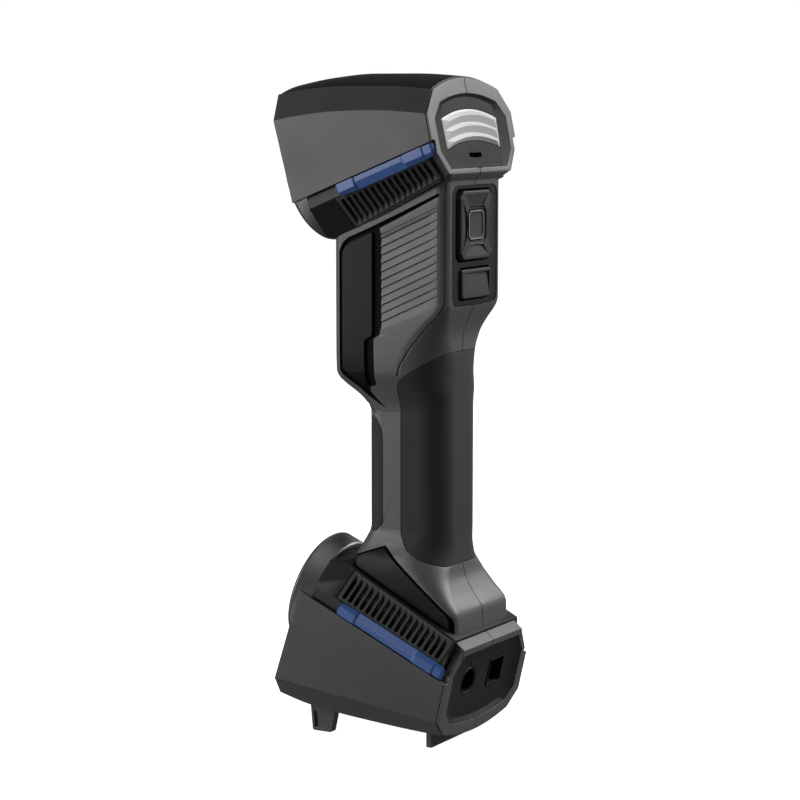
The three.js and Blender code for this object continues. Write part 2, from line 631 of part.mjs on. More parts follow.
const scanner = new THREE.Group();

function add(name, body, paint) {
  const mesh = new THREE.Mesh(geometryOf(body), new THREE.MeshStandardMaterial(PAINTS[paint]));
  mesh.name = name;
  scanner.add(mesh);
}

function addPair(name, body, paint) {
  add(`${name}_left`, body, paint);
  add(`${name}_right`, mirrored(body), paint);
}

// Shells: one half of the column with the rear frames of both heads, split on X = 0

function rearOpening(head, name) {
  return slab(rearFrame(head), shapeOf(REAR_OUTLINES[name].inset), -REACH / 4, REACH / 4);
}

function rearSlab(head, name) {
  const frame = rearFrame(head);
  return slab(frame, shapeOf(REAR_OUTLINES[name].frame), -FRAME_LIP, 0)
    .add(slab(frame, shapeOf(REAR_OUTLINES[name].core), -FRAME_THICK, -FRAME_LIP / 2));
}

function keypadShape(by) {
  const outline = offset(rectangle(KEYPAD.half, KEYPAD.low, KEYPAD.high), by);
  return roundedShape(outline, KEYPAD.corner + by);
}

function frontBlock(half, low, high, by = 0) {
  return box([-half - by, half + by], [-REACH, HANDLE_FRONT - 1], [low - by, high + by]);
}

function shellHalf() {
  let body = columnBody.subtract(column(SHELL_WALL, 2));
  [REAR_GRIP, FRONT_GRIP].forEach((outline) => {
    body = body.subtract(pocket(outline, INLAY));
  });
  [NAME_PANEL, RIB_PLATE, NECK_PANEL].forEach((outline) => {
    body = body.subtract(pocket(outline, INLAY, SIDE_PANEL_START));
  });
  const cover = frontBlock(FRONT_COVER.half, FRONT_COVER.low, FRONT_COVER.high, GAP);
  body = body.subtract(cover.subtract(column(INLAY + GAP, REACH)));
  body = body.subtract(frontBlock(LASER.half, LASER.low, LASER.high, -LASER.rim));
  body = body.subtract(slab(BACK, keypadShape(GAP), KEYPAD.back - 3, REACH));
  Object.entries(HEADS).forEach(([name, head]) => {
    body = body.add(rearSlab(head, name)).subtract(rearOpening(head, name));
  });
  return body.intersect(box([GAP / 2, REACH], [-REACH, REACH], [-REACH, 6 * REACH]));
}

addPair('shell', shellHalf(), 'shell');

// Grips and side panels

function grip(outline) {
  const region = slab(SIDE, roundedShape(outline, 1.2), -REACH, REACH);
  return region.intersect(columnBody).subtract(column(INLAY, REACH));
}

add('rear_grip', grip(REAR_GRIP), 'rubber');
add('front_grip', grip(FRONT_GRIP), 'rubber');

function ribPlate() {
  let body = inlay(RIB_PLATE, INLAY, SIDE_PANEL_START);
  const [frontTop, backTop, , frontLow] = RIB_PLATE;
  const pitch = (frontTop[1] - frontLow[1]) / (RIB_COUNT + 0.5);
  const rise = (backTop[1] - frontTop[1]) * (1 - (2 * RIB_MARGIN) / (backTop[0] - frontTop[0]));
  const [front, back] = [frontTop[0] + RIB_MARGIN, backTop[0] - RIB_MARGIN];
  for (let i = 1; i <= RIB_COUNT; i += 1) {
    const low = frontTop[1] - pitch * i;
    const high = low + RIB_GROOVE;
    const groove = [[front, low], [back, low + rise], [back, high + rise], [front, high]];
    body = body.subtract(slab(SIDE, shapeOf(groove), BODY_HALF - RIB_GROOVE, REACH));
  }
  return body;
}

addPair('rib_plate', ribPlate(), 'wing');

const nameChannel = slab(SIDE, shapeOf(NAME_CHANNEL), SIDE_PANEL_START, REACH)
  .subtract(column(NAME_CHANNEL_DEPTH, REACH));
addPair('name_panel', inlay(NAME_PANEL, INLAY, SIDE_PANEL_START).subtract(nameChannel), 'panel');
addPair('neck_panel', inlay(NECK_PANEL, INLAY, SIDE_PANEL_START, 0.8), 'panel');

// Front cover, with the laser window and the laser modules behind it

const frontCover = frontBlock(FRONT_COVER.half, FRONT_COVER.low, FRONT_COVER.high)
  .intersect(columnBody)
  .subtract(column(INLAY, REACH))
  .subtract(frontBlock(LASER.half, LASER.low, LASER.high, GAP));
const laserWindow = frontBlock(LASER.half, LASER.low, LASER.high)
  .intersect(column(LASER.recess, REACH))
  .subtract(column(INLAY, REACH));
add('front_cover', frontCover, 'panel');
add('laser_window', laserWindow, 'glass');

LASER.modules.forEach((z, i) => {
  const forwards = new THREE.Matrix4().makeRotationX(Math.PI).setPosition(0, 0, z);
  const module = disc(forwards, LASER_LENS.radius, ...LASER_LENS.ys, 16)
    .add(disc(forwards, LASER_BASE.radius, ...LASER_BASE.ys, 16));
  add(`laser_module_${i + 1}`, module, 'metal');
});

// Lens assemblies

function lensRing(lens) {
  const { front, rear, bore, depth, bevel } = LENS_RING;
  const profile = [[bore, -depth], [rear, -depth], [front - bevel / 2, -bevel], [front - bevel, 0],
    [bore + bevel, 0], [bore, -bevel], [bore, -depth]];
  return turned(lens, profile, 36);
}

function ledBoard(lens) {
  let body = tube(lens, LED_BOARD.hole, BARREL.bore - 1, -LED_BOARD.back, -LED_BOARD.face, 20);
  for (let i = 0; i < LED_BOARD.leds; i += 1) {
    const angle = (2 * Math.PI * i) / LED_BOARD.leds;
    const place = new THREE.Matrix4()
      .makeTranslation(LED_BOARD.circle * Math.cos(angle), 0, LED_BOARD.circle * Math.sin(angle));
    const led = disc(lens.clone().multiply(place), LED_BOARD.ledRadius, -LED_BOARD.face - 0.5,
      -LED_BOARD.ledTop, 6);
    body = body.add(led);
  }
  return body;
}

function sensorBoard(lens) {
  const across = lens.clone().multiply(new THREE.Matrix4().makeRotationX(-Math.PI / 2));
  const { half, halfHeight, face, back } = SENSOR_BOARD;
  return slab(across, shapeOf(rectangle(half, -halfHeight, halfHeight)), -back, -face);
}

Object.entries(HEADS).forEach(([name, head]) => {
  const lens = lensFrame(head);
  addPair(`${name}_wing`, wing(head), 'wing');
  addPair(`${name}_vent`, grille(head), 'chassis');
  addPair(`${name}_accent_strip`, strip(head), 'accent');
  add(`${name}_chassis`, chassis(head), 'chassis');
  add(`${name}_lens_ring`, lensRing(lens), 'metal');
  const { hole, back, front } = LENS_WINDOW;
  add(`${name}_front_window`, tube(lens, hole, BARREL.bore - GAP, -back, -front, 28), 'glass');
  add(`${name}_led_board`, ledBoard(lens), 'board');
  add(`${name}_camera_lens`, turned(lens, CAMERA_LENS, 18), 'socket');
  add(`${name}_sensor_board`, sensorBoard(lens), 'board');
});

add('upper_crown', crownCover(HEADS.upper), 'crown');

// Base cover, with the feet that the scanner stands on

function frontTab() {
  const { x, y, taper, wall, pocket: depth } = TAB;
  const outline = [[y[0] + taper, 0], [y[1] - taper, 0], [y[1] + taper, 12.6], [y[0], 14.6]];
  return slab(SIDE, roundedShape(outline, 1), x[0], x[1])
    .subtract(slab(SIDE, shapeOf(offset(outline, -wall)), x[1] - depth, REACH));
}

const tabs = frontTab().add(mirrored(frontTab()));
const rearBar = box([-BAR.half, BAR.half], BAR.y, [0, BAR.top]);
add('base_cover', crownCover(HEADS.lower).add(tabs).add(rearBar), 'crown');

// Upper rear face: panel, light guide, lanyard slot and the status lights' board

const upperFace = rearFrame(HEADS.upper);

// An arc across the light guide, from 0 at its top edge to 1 at its bottom edge.
function guideArc(part) {
  const { top, bottom } = LIGHT_GUIDE;
  const [half, edge, middle] = ['half', 'edge', 'middle']
    .map((key) => THREE.MathUtils.lerp(top[key], bottom[key], part));
  return arch(half, edge, middle);
}

function guideBand(from, to) {
  return [...guideArc(from), ...guideArc(to).reverse()];
}

const lanyardSlot = rectangleAt(0, LANYARD_SLOT.v, LANYARD_SLOT.half, LANYARD_SLOT.halfHeight);
const upperPanel = slab(upperFace, shapeOf(offset(REAR_OUTLINES.upper.inset, -GAP)), REAR_PANEL.back,
  REAR_PANEL.face)
  .subtract(slab(upperFace, shapeOf(offset(guideBand(0, 1), GAP)), REAR_PANEL.back - 1, 1))
  .subtract(slab(upperFace, roundedShape(lanyardSlot, 0.9), REAR_PANEL.back - 1, 1));
add('upper_rear_panel', upperPanel, 'panel');

let guide = slab(upperFace, shapeOf(guideBand(0, 1)), LIGHT_GUIDE.back, LIGHT_GUIDE.groove);
LIGHT_GUIDE.ribs.forEach(([from, to]) => {
  const outline = offset(guideBand(from, to), -LIGHT_GUIDE.ribInset);
  guide = guide.add(slab(upperFace, shapeOf(outline), LIGHT_GUIDE.groove - 1, LIGHT_GUIDE.ribFace));
});
add('light_guide', guide, 'guide');

function lanyardBar() {
  const { u, half, reach, back, face } = LANYARD_BAR;
  const bar = slab(upperFace, shapeOf(rectangleAt(u, LANYARD_SLOT.v, half, reach)), back, face);
  return [-1, 1].reduce((body, end) => {
    const foot = rectangleAt(u, LANYARD_SLOT.v + end * (reach - half), half, half);
    return body.add(slab(upperFace, shapeOf(foot), back, REAR_PANEL.back - GAP));
  }, bar);
}

add('lanyard_bar', lanyardBar(), 'metal');

function statusBoard() {
  const { half, halfHeight, back, face } = STATUS_BOARD;
  const board = slab(upperFace, shapeOf(rectangle(half, -halfHeight, halfHeight)), back, face);
  return [-STATUS_LED.pitch, 0, STATUS_LED.pitch].reduce((body, u) => {
    const outline = rectangleAt(u, 0, STATUS_LED.half, STATUS_LED.half);
    return body.add(slab(upperFace, shapeOf(outline), back, STATUS_LED.top));
  }, board);
}

add('status_board', statusBoard(), 'board');

// Lower rear face: panel, power and data sockets, light pipe and the interface board

const lowerFace = rearFrame(HEADS.lower);

// A turning axis that points out of a rear face at (u, v).
function outOf(face, u, v) {
  return face.clone()
    .multiply(new THREE.Matrix4().makeTranslation(u, v, 0))
    .multiply(new THREE.Matrix4().makeRotationX(Math.PI / 2));
}

function portPanel() {
  const { back, face } = PORT_PANEL;
  const power = outOf(lowerFace, POWER_SOCKET.u, POWER_SOCKET.v);
  const pipe = outOf(lowerFace, LIGHT_PIPE.u, LIGHT_PIPE.v);
  const data = rectangleAt(DATA_SOCKET.u, DATA_SOCKET.v, DATA_SOCKET.half, DATA_SOCKET.halfHeight);
  return slab(lowerFace, shapeOf(offset(REAR_OUTLINES.lower.inset, -GAP)), back, face)
    .subtract(disc(power, POWER_SOCKET.radius + GAP, back - 1, 1, 28))
    .subtract(disc(pipe, LIGHT_PIPE.radius + GAP, back - 1, 1, 12))
    .subtract(slab(lowerFace, shapeOf(offset(data, GAP)), back - 1, 1));
}

function powerSocket() {
  const { u, v, radius, bore, pins, pinCircle, pinRadius } = POWER_SOCKET;
  const { face, floor, back } = SOCKET_DEPTH;
  const cup = [[0, back], [radius, back], [radius, face], [bore, face], [bore, floor], [0, floor]];
  let body = turned(outOf(lowerFace, u, v), cup, 20);
  for (let i = 0; i < pins; i += 1) {
    const angle = (2 * Math.PI * i) / pins;
    const pin = outOf(lowerFace, u + pinCircle * Math.cos(angle), v + pinCircle * Math.sin(angle));
    body = body.add(disc(pin, pinRadius, back, SOCKET_DEPTH.pins, 6));
  }
  return body;
}

function dataSocket() {
  const { u, v, half, halfHeight, wall, comb } = DATA_SOCKET;
  const { face, floor, back, pins } = SOCKET_DEPTH;
  const inner = rectangleAt(u, v, half - wall, halfHeight - wall);
  return slab(lowerFace, shapeOf(rectangleAt(u, v, half, halfHeight)), back, face)
    .subtract(slab(lowerFace, shapeOf(inner), floor, 1))
    .add(slab(lowerFace, shapeOf(rectangleAt(u, v + comb, half - 2, 0.6)), back, pins));
}

function lightPipe() {
  const { u, v, radius, flange, flangeFace, back } = LIGHT_PIPE;
  const axis = outOf(lowerFace, u, v);
  return disc(axis, radius, back, SOCKET_DEPTH.face, 10).add(disc(axis, flange, back, flangeFace, 10));
}

add('port_panel', portPanel(), 'panel');
add('power_socket', powerSocket(), 'socket');
add('data_socket', dataSocket(), 'socket');
add('status_light_pipe', lightPipe(), 'guide');
add('interface_board', slab(
  lowerFace,
  shapeOf(rectangle(INTERFACE_BOARD.half, INTERFACE_BOARD.low, INTERFACE_BOARD.high)),
  INTERFACE_BOARD.back,
  INTERFACE_BOARD.face,
), 'board');

// Keypad: a fixed panel and board, a rocking pad on its gimbal plate, and two keys

const padWell = rectangleAt(0, PAD.z, PAD.half + KEY_CLEARANCE, PAD.halfHeight + KEY_CLEARANCE);
const keyMiddle = (FUNCTION_KEY.low + FUNCTION_KEY.high) / 2;
const keyHalfHeight = (FUNCTION_KEY.high - FUNCTION_KEY.low) / 2;
const functionOutline = rectangleAt(0, keyMiddle, FUNCTION_KEY.half, keyHalfHeight);

const keypadPanel = slab(BACK, keypadShape(0), KEYPAD.back, KEYPAD.face)
  .subtract(slab(BACK, roundedShape(padWell, PAD.corner), KEYPAD.back - 1, REACH))
  .subtract(slab(BACK, roundedShape(offset(functionOutline, KEY_CLEARANCE), 2.5), KEYPAD.back - 1, REACH));
add('keypad_panel', keypadPanel, 'panel');

function keypadBoard() {
  const { half, low, high, back, face } = KEYPAD_BOARD;
  const places = [[0, PAD.z + SWITCH.reach], [0, PAD.z - SWITCH.reach], [SWITCH.reach, PAD.z],
    [-SWITCH.reach, PAD.z], [0, keyMiddle]];
  const board = slab(BACK, shapeOf(rectangle(half, low, high)), back, face);
  const select = slab(BACK, shapeOf(rectangleAt(0, PAD.z, 2 * SWITCH.half, 2 * SWITCH.half)), back,
    SWITCH.selectTop);
  return places.reduce((body, [x, z]) => {
    const outline = rectangleAt(x, z, SWITCH.half, SWITCH.half);
    return body.add(slab(BACK, shapeOf(outline), back, SWITCH.top));
  }, board.add(select));
}

add('keypad_board', keypadBoard(), 'board');

// The gimbal plate rocks about Z on two posts, one above the other.
function padGimbal() {
  const { half, bore, back, face } = GIMBAL;
  const plate = slab(BACK, roundedShape(rectangleAt(0, PAD.z, half, half), 2), back, face)
    .subtract(slab(BACK, shapeOf(rectangleAt(0, PAD.z, bore, bore)), back - 1, face + 1));
  return [-1, 1].reduce((body, side) => {
    const zs = [PIVOT.near, PIVOT.far].map((z) => PAD.z + side * z).sort((a, b) => a - b);
    return body.add(box([-PIVOT.half, PIVOT.half], [KEYPAD_BOARD.face + GAP, face - 0.5], zs));
  }, plate);
}

// The pad rocks about X on two posts, side by side on the gimbal plate.
function pad() {
  const { z, half, halfHeight, face, back, corner } = PAD;
  const hole = roundedShape(rectangleAt(0, z, PAD_HOLE.half, PAD_HOLE.halfHeight), 1);
  const outline = roundedShape(rectangleAt(0, z, half, halfHeight), corner);
  const top = roundedShape(rectangleAt(0, z, half - 1, halfHeight - 1), corner - 0.5);
  const body = slab(BACK, outline, back, face - 0.8)
    .add(slab(BACK, top, back, face))
    .subtract(slab(BACK, hole, back - 1, face + 1));
  return [-1, 1].reduce((joined, side) => {
    const xs = [PIVOT.near, PIVOT.far].map((x) => side * x).sort((a, b) => a - b);
    return joined.add(box(xs, [GIMBAL.face + GAP, back + 0.5], [z - PIVOT.half, z + PIVOT.half]));
  }, body);
}

function selectKey() {
  const { half, halfHeight, face, back, stem, stemEnd } = SELECT_KEY;
  return slab(BACK, roundedShape(rectangleAt(0, PAD.z, half, halfHeight), 1), back, face)
    .add(slab(BACK, shapeOf(rectangleAt(0, PAD.z, stem, stem)), stemEnd, back + 1));
}

add('pad_gimbal', padGimbal(), 'key');
add('direction_pad', pad(), 'key');
add('select_key', selectKey(), 'key');
const functionShape = roundedShape(functionOutline, FUNCTION_KEY.corner);
add('function_key', slab(BACK, functionShape, FUNCTION_KEY.back, FUNCTION_KEY.face), 'key');

// Spine, heat sinks and main board

function spine() {
  const { half, ys, zs, hole, holes } = SPINE;
  const plate = box([-half, half], ys, zs);
  const pitch = (zs[1] - zs[0]) / (holes + 1);
  const cuts = Array.from({ length: holes }, (_, i) => {
    const z = zs[0] + pitch * (i + 1);
    return box([-hole, hole], [ys[0] - 1, ys[1] + 1], [z - 2 * hole, z + 2 * hole]);
  });
  return cuts.reduce((body, cut) => body.subtract(cut), plate);
}

// Fins stand on a base plate and point away from the spine.
function heatSink(foot, up, ys) {
  const { half, base, fin, fins, height } = HEAT_SINK;
  const span = (from, to) => [foot + up * from, foot + up * to].sort((a, b) => a - b);
  const pitch = (2 * half - fin) / (fins - 1);
  const plate = box([-half, half], ys, span(0, base));
  const rows = Array.from({ length: fins }, (_, i) => {
    const x = -half + pitch * i;
    return box([x, x + fin], ys, span(base / 2, height));
  });
  return rows.reduce((body, row) => body.add(row), plate);
}

function mainBoard() {
  const { half, ys, zs, chipTop } = MAIN_BOARD;
  const middle = (zs[0] + zs[1]) / 2;
  const chips = [[-8, 6, middle - 8, middle + 6], [-14, -4, middle + 12, middle + 20],
    [2, 12, middle + 12, middle + 20], [-12, 12, zs[0] + 4, zs[0] + 10]];
  return chips.reduce((body, [x0, x1, z0, z1]) => body.add(box([x0, x1], [ys[0], chipTop], [z0, z1])),
    box([-half, half], ys, zs));
}

add('spine', spine(), 'metal');
add('upper_heat_sink', heatSink(SPINE.zs[1] + GAP, 1, HEAT_SINK.upper), 'metal');
add('lower_heat_sink', heatSink(SPINE.zs[0] - GAP, -1, HEAT_SINK.lower), 'metal');
add('main_board', mainBoard(), 'board');

// The origin is on the floor under the middle of the scanner.
const extent = new THREE.Box3().setFromObject(scanner);
scanner.position.y = -(extent.min.y + extent.max.y) / 2;

export default scanner;
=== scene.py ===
"""Looks of the hand-held scanner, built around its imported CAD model.

Shapes are worked out in millimetres in the design frame, where Y = 0 is the grip's own zero, and
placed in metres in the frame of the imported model.
"""

import math

import bmesh
import bpy
from mathutils import Matrix, Vector


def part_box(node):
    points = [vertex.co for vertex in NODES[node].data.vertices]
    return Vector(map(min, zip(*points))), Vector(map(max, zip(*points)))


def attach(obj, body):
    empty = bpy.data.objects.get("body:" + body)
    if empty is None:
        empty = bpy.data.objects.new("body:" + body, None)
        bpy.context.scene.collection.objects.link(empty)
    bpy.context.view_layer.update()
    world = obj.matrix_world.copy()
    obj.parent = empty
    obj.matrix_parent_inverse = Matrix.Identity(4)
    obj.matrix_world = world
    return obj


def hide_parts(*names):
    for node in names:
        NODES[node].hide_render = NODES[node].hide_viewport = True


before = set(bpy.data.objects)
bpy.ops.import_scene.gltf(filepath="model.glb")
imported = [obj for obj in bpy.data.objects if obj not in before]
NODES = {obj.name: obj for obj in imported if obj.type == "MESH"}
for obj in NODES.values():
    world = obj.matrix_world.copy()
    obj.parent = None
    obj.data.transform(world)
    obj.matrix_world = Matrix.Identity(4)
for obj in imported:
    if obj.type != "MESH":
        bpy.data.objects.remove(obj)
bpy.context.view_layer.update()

# ------------------------ driving dimensions, millimetres

MM = 0.001
GAP = 0.3
FINE_GAP = 0.12
SLACK = 0.02
SAME_PLACE = 0.003
REACH = 60
SHELL_WALL = 4.2
INLAY = 1.8
COVER_WALL = 2.2
WING_HALF = 37.1
SHOULDER_HALF = 28.3
CHASSIS_HALF = 34.6
STRIP_HEIGHT = 5.4
BODY_HALF = 25
FRAME_THICK = 4
FRAME_LIP = 0.8
CROWN_SETBACK = 1.5
KNURL = 0.13
KEYPAD_FACE = 35.2
OFFSET_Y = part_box("keypad_panel")[1].y / MM - KEYPAD_FACE

# Grip column: height, half width, front, back, front and back corner radii
COLUMN = [
    (40, 25, -11.5, 41.8, 3, 4),
    (60, 25, -11.5, 41.2, 3, 4),
    (68, 25, -11.5, 36, 3, 7),
    (76, 24.6, -11.5, 32, 3, 12),
    (82, 23.6, -11.1, 31.2, 4, 17),
    (88, 20.6, -9.8, 31, 6, 15),
    (95, 18.5, -8, 31, 8, 12),
    (147, 18.5, -8, 31, 8, 12),
    (152, 19.6, -10.8, 31, 7, 13),
    (155, 20.8, -14, 31, 7, 14),
    (158, 22.2, -17.2, 31, 6, 16),
    (160.5, 23.4, -19.2, 31, 5, 18),
    (164, 24.6, -20.1, 31, 4, 20),
    (173.5, 25, -20.1, 30.8, 4, 18),
    (180, 25, -20.1, 31, 4, 13.5),
    (184, 25, -20.1, 32.2, 4, 11),
    (188, 25, -20.1, 33.9, 4, 8),
    (191, 25, -20.1, 35.4, 4, 6),
    (195, 25, -20.1, 36.7, 4, 5),
    (251, 25, -20.1, 36.7, 4, 5),
]
CORNER_STEPS = 10
STATION_STEP = 2.5

# Heads: stations are (y, crown, shoulder, wing edge); planes are (y, z, lean); the foot of the
# vent slope is its height and half width at y = 0, each with its change per millimetre of y
HEADS = {
    "upper": {
        "up": 1,
        "stations": [(-52, 287, 282.7, 270.6), (-30, 291.2, 286.3, 274.6), (-12, 292.8, 287.5, 276.6),
                     (8, 292.8, 287.6, 277.2), (42, 290.6, 285.6, 275.4)],
        "wing_line": (250.2, 0.398),
        "foot": (229.65, 0.505, 25.3, 0.0676),
        "front_plane": (-42.4, 271.8, -0.27),
        "rear_plane": (35.94, 268, -0.21),
        "lens": (-42.5, 245.4, 15.5),
        "strip_span": (-12, 35.5),
        "vent_span": (-13, 32.5),
        "slots": 15,
    },
    "lower": {
        "up": -1,
        "stations": [(-54, 14, 19.4, 27.6), (-28, 10, 13.4, 24.4), (0, 7.2, 10.6, 21),
                     (30, 5.6, 8.8, 17.3), (50, 5.2, 8.4, 15)],
        "wing_line": (53.4, -0.455),
        "foot": (73.84, -0.512, 27.08, 0.028),
        "front_plane": (-43.8, 26.3, 0.323),
        "rear_plane": (42.46, 28, 0.2296),
        "lens": (-42.1, 61, -15.5),
        "strip_span": (-12, 40.5),
        "vent_span": (-13, 38.5),
        "slots": 17,
    },
}

# Outlines on the side of the column, as (y, z)
NAME_RECESS = [(-16.6, 212.5), (-16.6, 216.4), (-14.8, 220.2), (-12.4, 222.2), (3.8, 229), (3.8, 181),
               (0.6, 179), (0.6, 158.6), (-4.6, 157.2), (-7.3, 156.2), (-14.5, 161.8), (-16.6, 164.4)]
NAME_FACE = [(-15.4, 215.6), (-13.8, 218.4), (-11.6, 220.1), (-0.2, 225), (-0.2, 180.4), (-4.2, 178),
             (-4.2, 158.8), (-6.4, 157.8), (-13.9, 163.6), (-15.4, 165)]
NAME_WEDGE = [(-7.6, 156.9), (-3.2, 158.4), (-2.9, 155), (-0.8, 152.2), (3, 148.2), (0.4, 149.8),
              (-4, 152.9), (-7.6, 156)]
NAME_CREASE = [(-8, 151.6), (-6.4, 151.2), (2.8, 144.6), (-2.4, 145.6), (-8, 148.6)]
RIB_PLATE = [(4.4, 224), (32.2, 236.4), (32.2, 195.4), (4.4, 182.6)]
RIB_COUNT = 11
NECK_RECESS = [(-11, 82.8), (4, 88), (39.6, 59.9), (40.3, 57.5), (40.3, 51.7), (-11, 77.4)]
NECK_FACE = [(-10.7, 82.4), (3.4, 87), (37.4, 60.2), (38.5, 57.4), (38.5, 52.2), (-10.7, 77.8)]
REAR_GRIP = [(10.6, 157.4), (12.6, 161.2), (30.5, 173.2), (50, 173.6), (50, 79.8), (30, 79.8),
             (22.9, 82.4), (14.2, 87.5), (10.6, 93.4)]
FRONT_GRIP = [(-30, 141), (-4.6, 144.6), (-2.2, 143.2), (0.4, 139.4), (1.2, 136), (1.2, 97.4),
              (-2, 93.8), (-30, 92)]
# The groove that frames the rear face, as (z, direction in degrees), its width and its depth
GROOVE = [(163, 2), (168, 6), (174, 14), (182, 22), (190, 34), (195, 42), (198, 45), (247, 45)]
GROOVE_SIZE = (0.7, 0.7)
CHANNEL = [(-2, 226.5), (15.4, 234.3), (32.6, 242.2), (33.2, 241.6), (32.6, 240.9), (15.4, 232.4),
           (2, 226), (2, 224)]
CHANNEL_DEPTH = 2.6
RIB_END_SLOT = ((3, 5.2), (183.5, 224.6))
SHELF = [(36, 51.4), (41.4, 51.4), (47, 47), (45.6, 41), (36, 41)]
SHELF_HALF = 26.4
# The facet under the upper frame: where it starts, then (z, half width, back, corner cut)
UNDER_FRAME_START = 33
UNDER_FRAME = [(247, 24.6, 36.3, 3), (250.2, 27.2, 39.5, 1.6), (251.2, 27.2, 39.3, 1.6)]
PANEL_START = 12
# How deep the grips and panels lie below the column's surface
GRIP_INSET = 0.05
NAME_FLOOR, NAME_TOP, NAME_BACK = 1.45, 0.12, 1.5
NECK_FLOOR, NECK_TOP, NECK_BACK = 1.3, 0.15, 1.35
CREASE_DEPTH = 0.7
# Openings and panels on the front, the rear and the seam
FRONT_LIMIT = -9
COVER_HALF, COVER_HEIGHTS = 19.5, (170, 219)
WINDOW_HALF, WINDOW_HEIGHTS = 13, (180, 216)
WINDOW_INSET = 0.4
KEYPAD_Z, KEYPAD_HALF, KEYPAD_HALF_HEIGHT, KEYPAD_CORNER = 219.3, 20, 25.8, 5
SEAM_V, SEAM_HALF_HEIGHT = 19.8, 3

# ------------------------ frames and outlines


def frame_of(origin, u, v, n):
    """A matrix whose columns are the axes u, v and n, at origin."""
    return Matrix([(u[i], v[i], n[i], origin[i]) for i in range(3)] + [(0, 0, 0, 1)])


SIDE = frame_of((0, 0, 0), (0, 1, 0), (0, 0, 1), (1, 0, 0))
BACK = frame_of((0, 0, 0), (-1, 0, 0), (0, 0, 1), (0, 1, 0))


def rear_frame(head):
    y, z, lean = head["rear_plane"]
    n = Vector((0, 1, -lean)).normalized()
    v = Vector((0, lean, 1)).normalized()
    return frame_of((0, y, z), (-1, 0, 0), v, n)


def lens_frame(head):
    """+Z of the frame points out of the lens."""
    y, z, tilt = head["lens"]
    angle = math.radians(tilt)
    n = Vector((0, -math.cos(angle), -math.sin(angle)))
    u = Vector((1, 0, 0))
    return frame_of((0, y, z), u, n.cross(u), n)


def area(outline):
    pairs = zip(outline, outline[1:] + outline[:1])
    return sum(a[0] * b[1] - b[0] * a[1] for a, b in pairs) / 2


def offset(outline, by):
    """The outline with every edge moved outwards by the same distance."""
    sign = by if area(outline) > 0 else -by
    count = len(outline)
    normals = []
    for i, point in enumerate(outline):
        edge = (Vector(outline[(i + 1) % count]) - Vector(point)).normalized()
        normals.append(Vector((edge.y, -edge.x)))
    moved = []
    for i, point in enumerate(outline):
        before = normals[i - 1]
        move = (before + normals[i]) * (sign / (1 + before.dot(normals[i])))
        moved.append((point[0] + move.x, point[1] + move.y))
    return moved


def rounded(outline, radius, steps=6):
    """The outline with its corners rounded; radius may be one number or one for each corner."""
    radii = radius if isinstance(radius, (list, tuple)) else [radius] * len(outline)
    result = []
    for i, corner in enumerate(outline):
        here = Vector(corner)
        before = Vector(outline[i - 1])
        after = Vector(outline[(i + 1) % len(outline)])
        start = here + (before - here).normalized() * radii[i]
        end = here + (after - here).normalized() * radii[i]
        for step in range(steps + 1):
            t = step / steps
            point = start * (1 - t) ** 2 + here * (2 * t * (1 - t)) + end * t ** 2
            result.append((point.x, point.y))
    return result


def rectangle(u, v, half, half_height):
    return [(u + half, v - half_height), (u + half, v + half_height), (u - half, v + half_height),
            (u - half, v - half_height)]


def chamfered(u, v, half, half_height, cut):
    """A rectangle with its four corners cut off."""
    return [(u + half, v - half_height + cut), (u + half, v + half_height - cut),
            (u + half - cut, v + half_height), (u - half + cut, v + half_height),
            (u - half, v + half_height - cut), (u - half, v - half_height + cut),
            (u - half + cut, v - half_height), (u + half - cut, v - half_height)]


def arch(half, edge, middle, steps=14):
    """A parabola from -half to half, between the heights edge and middle."""
    return [(half * i / steps, middle + (edge - middle) * (i / steps) ** 2)
            for i in range(-steps, steps + 1)]


def arched(side, half, edge, middle):
    """A closed outline from the points of its right side, their mirror image and an arch."""
    mirrored = [(-u, v) for u, v in reversed(side)]
    return list(side) + list(reversed(arch(half, edge, middle))) + mirrored


def curve_through(xs, ys):
    """A smooth curve through the points that never overshoots them."""
    slopes = [(y1 - y0) / (x1 - x0) for x0, x1, y0, y1 in zip(xs, xs[1:], ys, ys[1:])]
    tangents = [slopes[0]]
    for a, b in zip(slopes, slopes[1:]):
        tangents.append(0 if a * b <= 0 else 2 * a * b / (a + b))
    tangents.append(slopes[-1])

    def at(x):
        i = max(j for j in range(len(xs) - 1) if x >= xs[j] or j == 0)
        width = xs[i + 1] - xs[i]
        t = (x - xs[i]) / width
        return ((2 * t ** 3 - 3 * t ** 2 + 1) * ys[i] + (t ** 3 - 2 * t ** 2 + t) * width * tangents[i]
                + (3 * t ** 2 - 2 * t ** 3) * ys[i + 1] + (t ** 3 - t ** 2) * width * tangents[i + 1])

    return at


# ------------------------ solids


def loft(rings):
    """A solid through rings of points of the same count."""
    bm = bmesh.new()
    rows = [[bm.verts.new(point) for point in ring] for ring in rings]
    count = len(rows[0])
    for low, high in zip(rows, rows[1:]):
        for i in range(count):
            j = (i + 1) % count
            bm.faces.new((low[i], low[j], high[j], high[i]))
    bm.faces.new(list(reversed(rows[0])))
    bm.faces.new(rows[-1])
    bmesh.ops.recalc_face_normals(bm, faces=bm.faces)
    return bm


def prism(place, outline, low, high):
    return loft([[place @ Vector((u, v, level)) for u, v in outline] for level in (low, high)])


def block(xs, ys, zs):
    return loft([[Vector((x, y, z)) for x, y in ((xs[0], ys[0]), (xs[1], ys[0]), (xs[1], ys[1]),
                                                (xs[0], ys[1]))] for z in zs])


